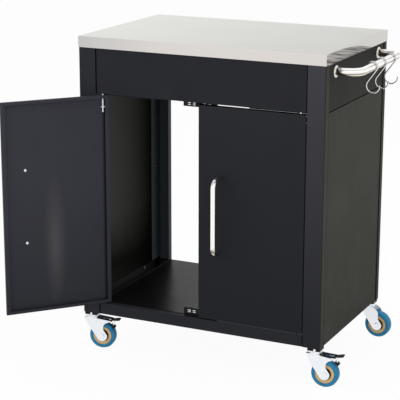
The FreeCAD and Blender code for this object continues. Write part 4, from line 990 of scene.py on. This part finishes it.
def wheels():
    """Four wheels: blue tread on a beige centre, with ribs and a black thread guard in its recess that stands in for
    the shade there.
    """
    ribs = rib_tree()
    upright = Matrix.Rotation(math.radians(90), 4, "X")
    for corner, angle in CASTER_ANGLES.items():
        low, high = (Vector(point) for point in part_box(f"{corner}_tyre"))
        place = Matrix.Translation((low + high) / 2) @ Matrix.Rotation(math.radians(angle), 4, "Z")

        def fitted(mesh, finish, node):
            mesh.transform(place)
            piece(mesh.name, shaded(mesh), FINISHES[finish], f"{corner}_{node}")

        fitted(spun(f"{corner}_tread", mirrored(tyre_half())), "blue_tread", "tyre")
        centre = spun(f"{corner}_wheel_centre", mirrored(HUB_SECTION))
        form = bmesh.new()
        form.from_mesh(centre)
        for side in (-1, 1):
            rib = grown(f"{corner}_ribs", ribs, FINISHES["beige_plastic"], **RIB_SIZES)
            rib.transform(Matrix.Translation((0, side * RIB_ACROSS, 0)) @ upright)
            form.from_mesh(rib)
        form.to_mesh(centre)
        form.free()
        fitted(centre, "beige_plastic", "hub")
        # Black ring in the recess: a thread guard, put there as painted shade
        for number, turn in ((1, math.pi), (2, 0.0)):
            guard = spun(f"{corner}_shade_thread_guard_{number}", SHADE_GUARD_SECTION)
            guard.transform(Matrix.Rotation(turn, 4, "Z"))
            fitted(guard, "black_plastic", "hub")


def soft_sheets():
    """Folded sheets, mouldings and pressings with their edges rounded off."""
    for edge, nodes in SOFT_EDGES:
        for node in nodes:
            softened(node, edge)


def brake_parts():
    """Painted brake levers, each with its plated pin and strut and its black shoe, told apart by their length."""
    for corner in ("front_left", "front_right"):
        node = f"{corner}_brake_lever"
        turn = math.radians(CASTER_ANGLES[corner])
        along = Vector((math.cos(turn), math.sin(turn), 0.0))
        form = merged(node)
        reaches = []
        for island in islands(form):
            spread = [vertex.co.dot(along) for vertex in island]
            reaches.append((max(spread) - min(spread), middle_of(island)))
        form.free()
        reaches.sort(key=lambda pair: pair[0])
        for part, rank, slot, edge in BRAKE_PARTS:
            spot = reaches[rank][1]
            softened(node, edge, FINISHES[slot], f"{corner}_brake_{part}", shortest=BRAKE_SHORTEST,
                     picks=lambda middle: (middle - spot).length < MERGE_REACH)


def hinge_pieces():
    """Plated ear and rivets of each upper pivot, and the painted lower pivot."""
    for name in ("left", "right"):
        node = f"{name}_hinge_fittings"
        softened(node, HINGE_EDGE, name=f"{name}_pivot_ear", picks=lambda middle: middle.z > GRIP_MIDDLE)
        softened(node, HINGE_EDGE, FINISHES["lever_paint"], f"{name}_lower_pivot",
                 picks=lambda middle: middle.z < GRIP_MIDDLE)


def plain_solids():
    """Solids whose own shape stays and that only take a finish."""
    for node, solid in solids.items():
        solid.data.materials.clear()
        solid.data.materials.append(finish_of(node))


def photo_camera():
    """Camera at the photograph's place and angle."""
    data = bpy.data.cameras.new("photo_camera")
    data.sensor_width = SENSOR_WIDTH
    data.lens = SENSOR_WIDTH * FOCAL_PIXELS / IMAGE_PIXELS
    data.clip_end = 100.0
    camera = placed("photo_camera", data)
    turn = Matrix.Rotation(math.radians(CAMERA_AZIMUTH), 4, "Z")
    tilt = Matrix.Rotation(math.radians(90.0 - CAMERA_ELEVATION), 4, "X")
    roll = Matrix.Rotation(math.radians(CAMERA_ROLL), 4, "Z")
    camera.matrix_world = Matrix.Translation(CAMERA_PLACE + CART_MIDDLE) @ turn @ tilt @ roll
    scene.camera = camera


def seen_ray(network):
    """One for rays from the camera, off gloss or through glass, and nought for those that light the surfaces."""
    path = network.tree.nodes.new("ShaderNodeLightPath")
    either = network.maths("MAXIMUM", path.outputs["Is Camera Ray"], path.outputs["Is Glossy Ray"])
    return network.maths("MAXIMUM", either, path.outputs["Is Transmission Ray"])


def studio_air(fill):
    """White surroundings that light the cart at a plain level."""
    world = bpy.data.worlds.new("studio_air")
    world.use_nodes = True
    scene.world = world
    air = Network(world.node_tree)
    background = world.node_tree.nodes["Background"]
    background.inputs["Color"].default_value = (1.0, 1.0, 1.0, 1.0)
    level = air.add("ShaderNodeMapRange", {"Value": seen_ray(air), "To Min": fill, "To Max": 1.0})
    air.feed(background.inputs["Strength"], level)


def studio_floor(half, kept_shadow):
    """Pale floor that shows white and keeps a faint shadow."""
    mesh = bpy.data.meshes.new("studio_floor")
    mesh.from_pydata([(-half, -half, 0), (half, -half, 0), (half, half, 0), (-half, half, 0)], [], [(0, 1, 2, 3)])
    paper = Finish("studio_floor", shine=0.0)
    mottle = paper.grain(0.5, detail=2.0)
    paper.put(base_color=paper.shade(mottle, (0.88, 0.88, 0.88), (0.90, 0.90, 0.90)), roughness=0.9)
    shown = paper.maths("MULTIPLY", seen_ray(paper), 1.0 - kept_shadow)
    glow = paper.add("ShaderNodeEmission")
    mixed = paper.add("ShaderNodeMixShader", {0: shown, 1: paper.shader.outputs[0], 2: glow})
    paper.feed(paper.tree.nodes["Material Output"].inputs["Surface"], mixed)
    mesh.materials.append(paper.material)
    placed("studio_floor", mesh)


def soft_lamp(name, place, colour, aim_height, size):
    """Large square lamp aimed at a height above the middle of the floor."""
    data = bpy.data.lights.new(name, "AREA")
    data.shape = "SQUARE"
    data.size = size
    data.energy = LAMP_POWER
    data.color = colour
    lamp = placed(name, data)
    lamp.location = place
    lamp.rotation_euler = (Vector((0.0, 0.0, aim_height)) - Vector(place)).to_track_quat("-Z", "Y").to_euler()
    lamp.visible_camera = False
    lamp.visible_glossy = False


photo_camera()
plain_solids()
soft_sheets()
brake_parts()
hinge_pieces()
bow_handles()
wire_hooks()
pin_springs()
cross_screws()
wheels()
studio_air(fill=0.62)
studio_floor(half=20.0, kept_shadow=0.045)
soft_lamp("front_right_lamp", (2.8, -3.4, 2.6), (1.0, 0.98, 0.95), aim_height=0.45, size=2.4)
soft_lamp("front_left_lamp", (-3.0, -3.0, 2.8), (0.93, 0.96, 1.0), aim_height=0.45, size=2.4)
soft_lamp("top_lamp", (0.3, 0.4, 3.6), (1.0, 1.0, 1.0), aim_height=0.6, size=2.6)
scene.view_settings.view_transform = "Standard"
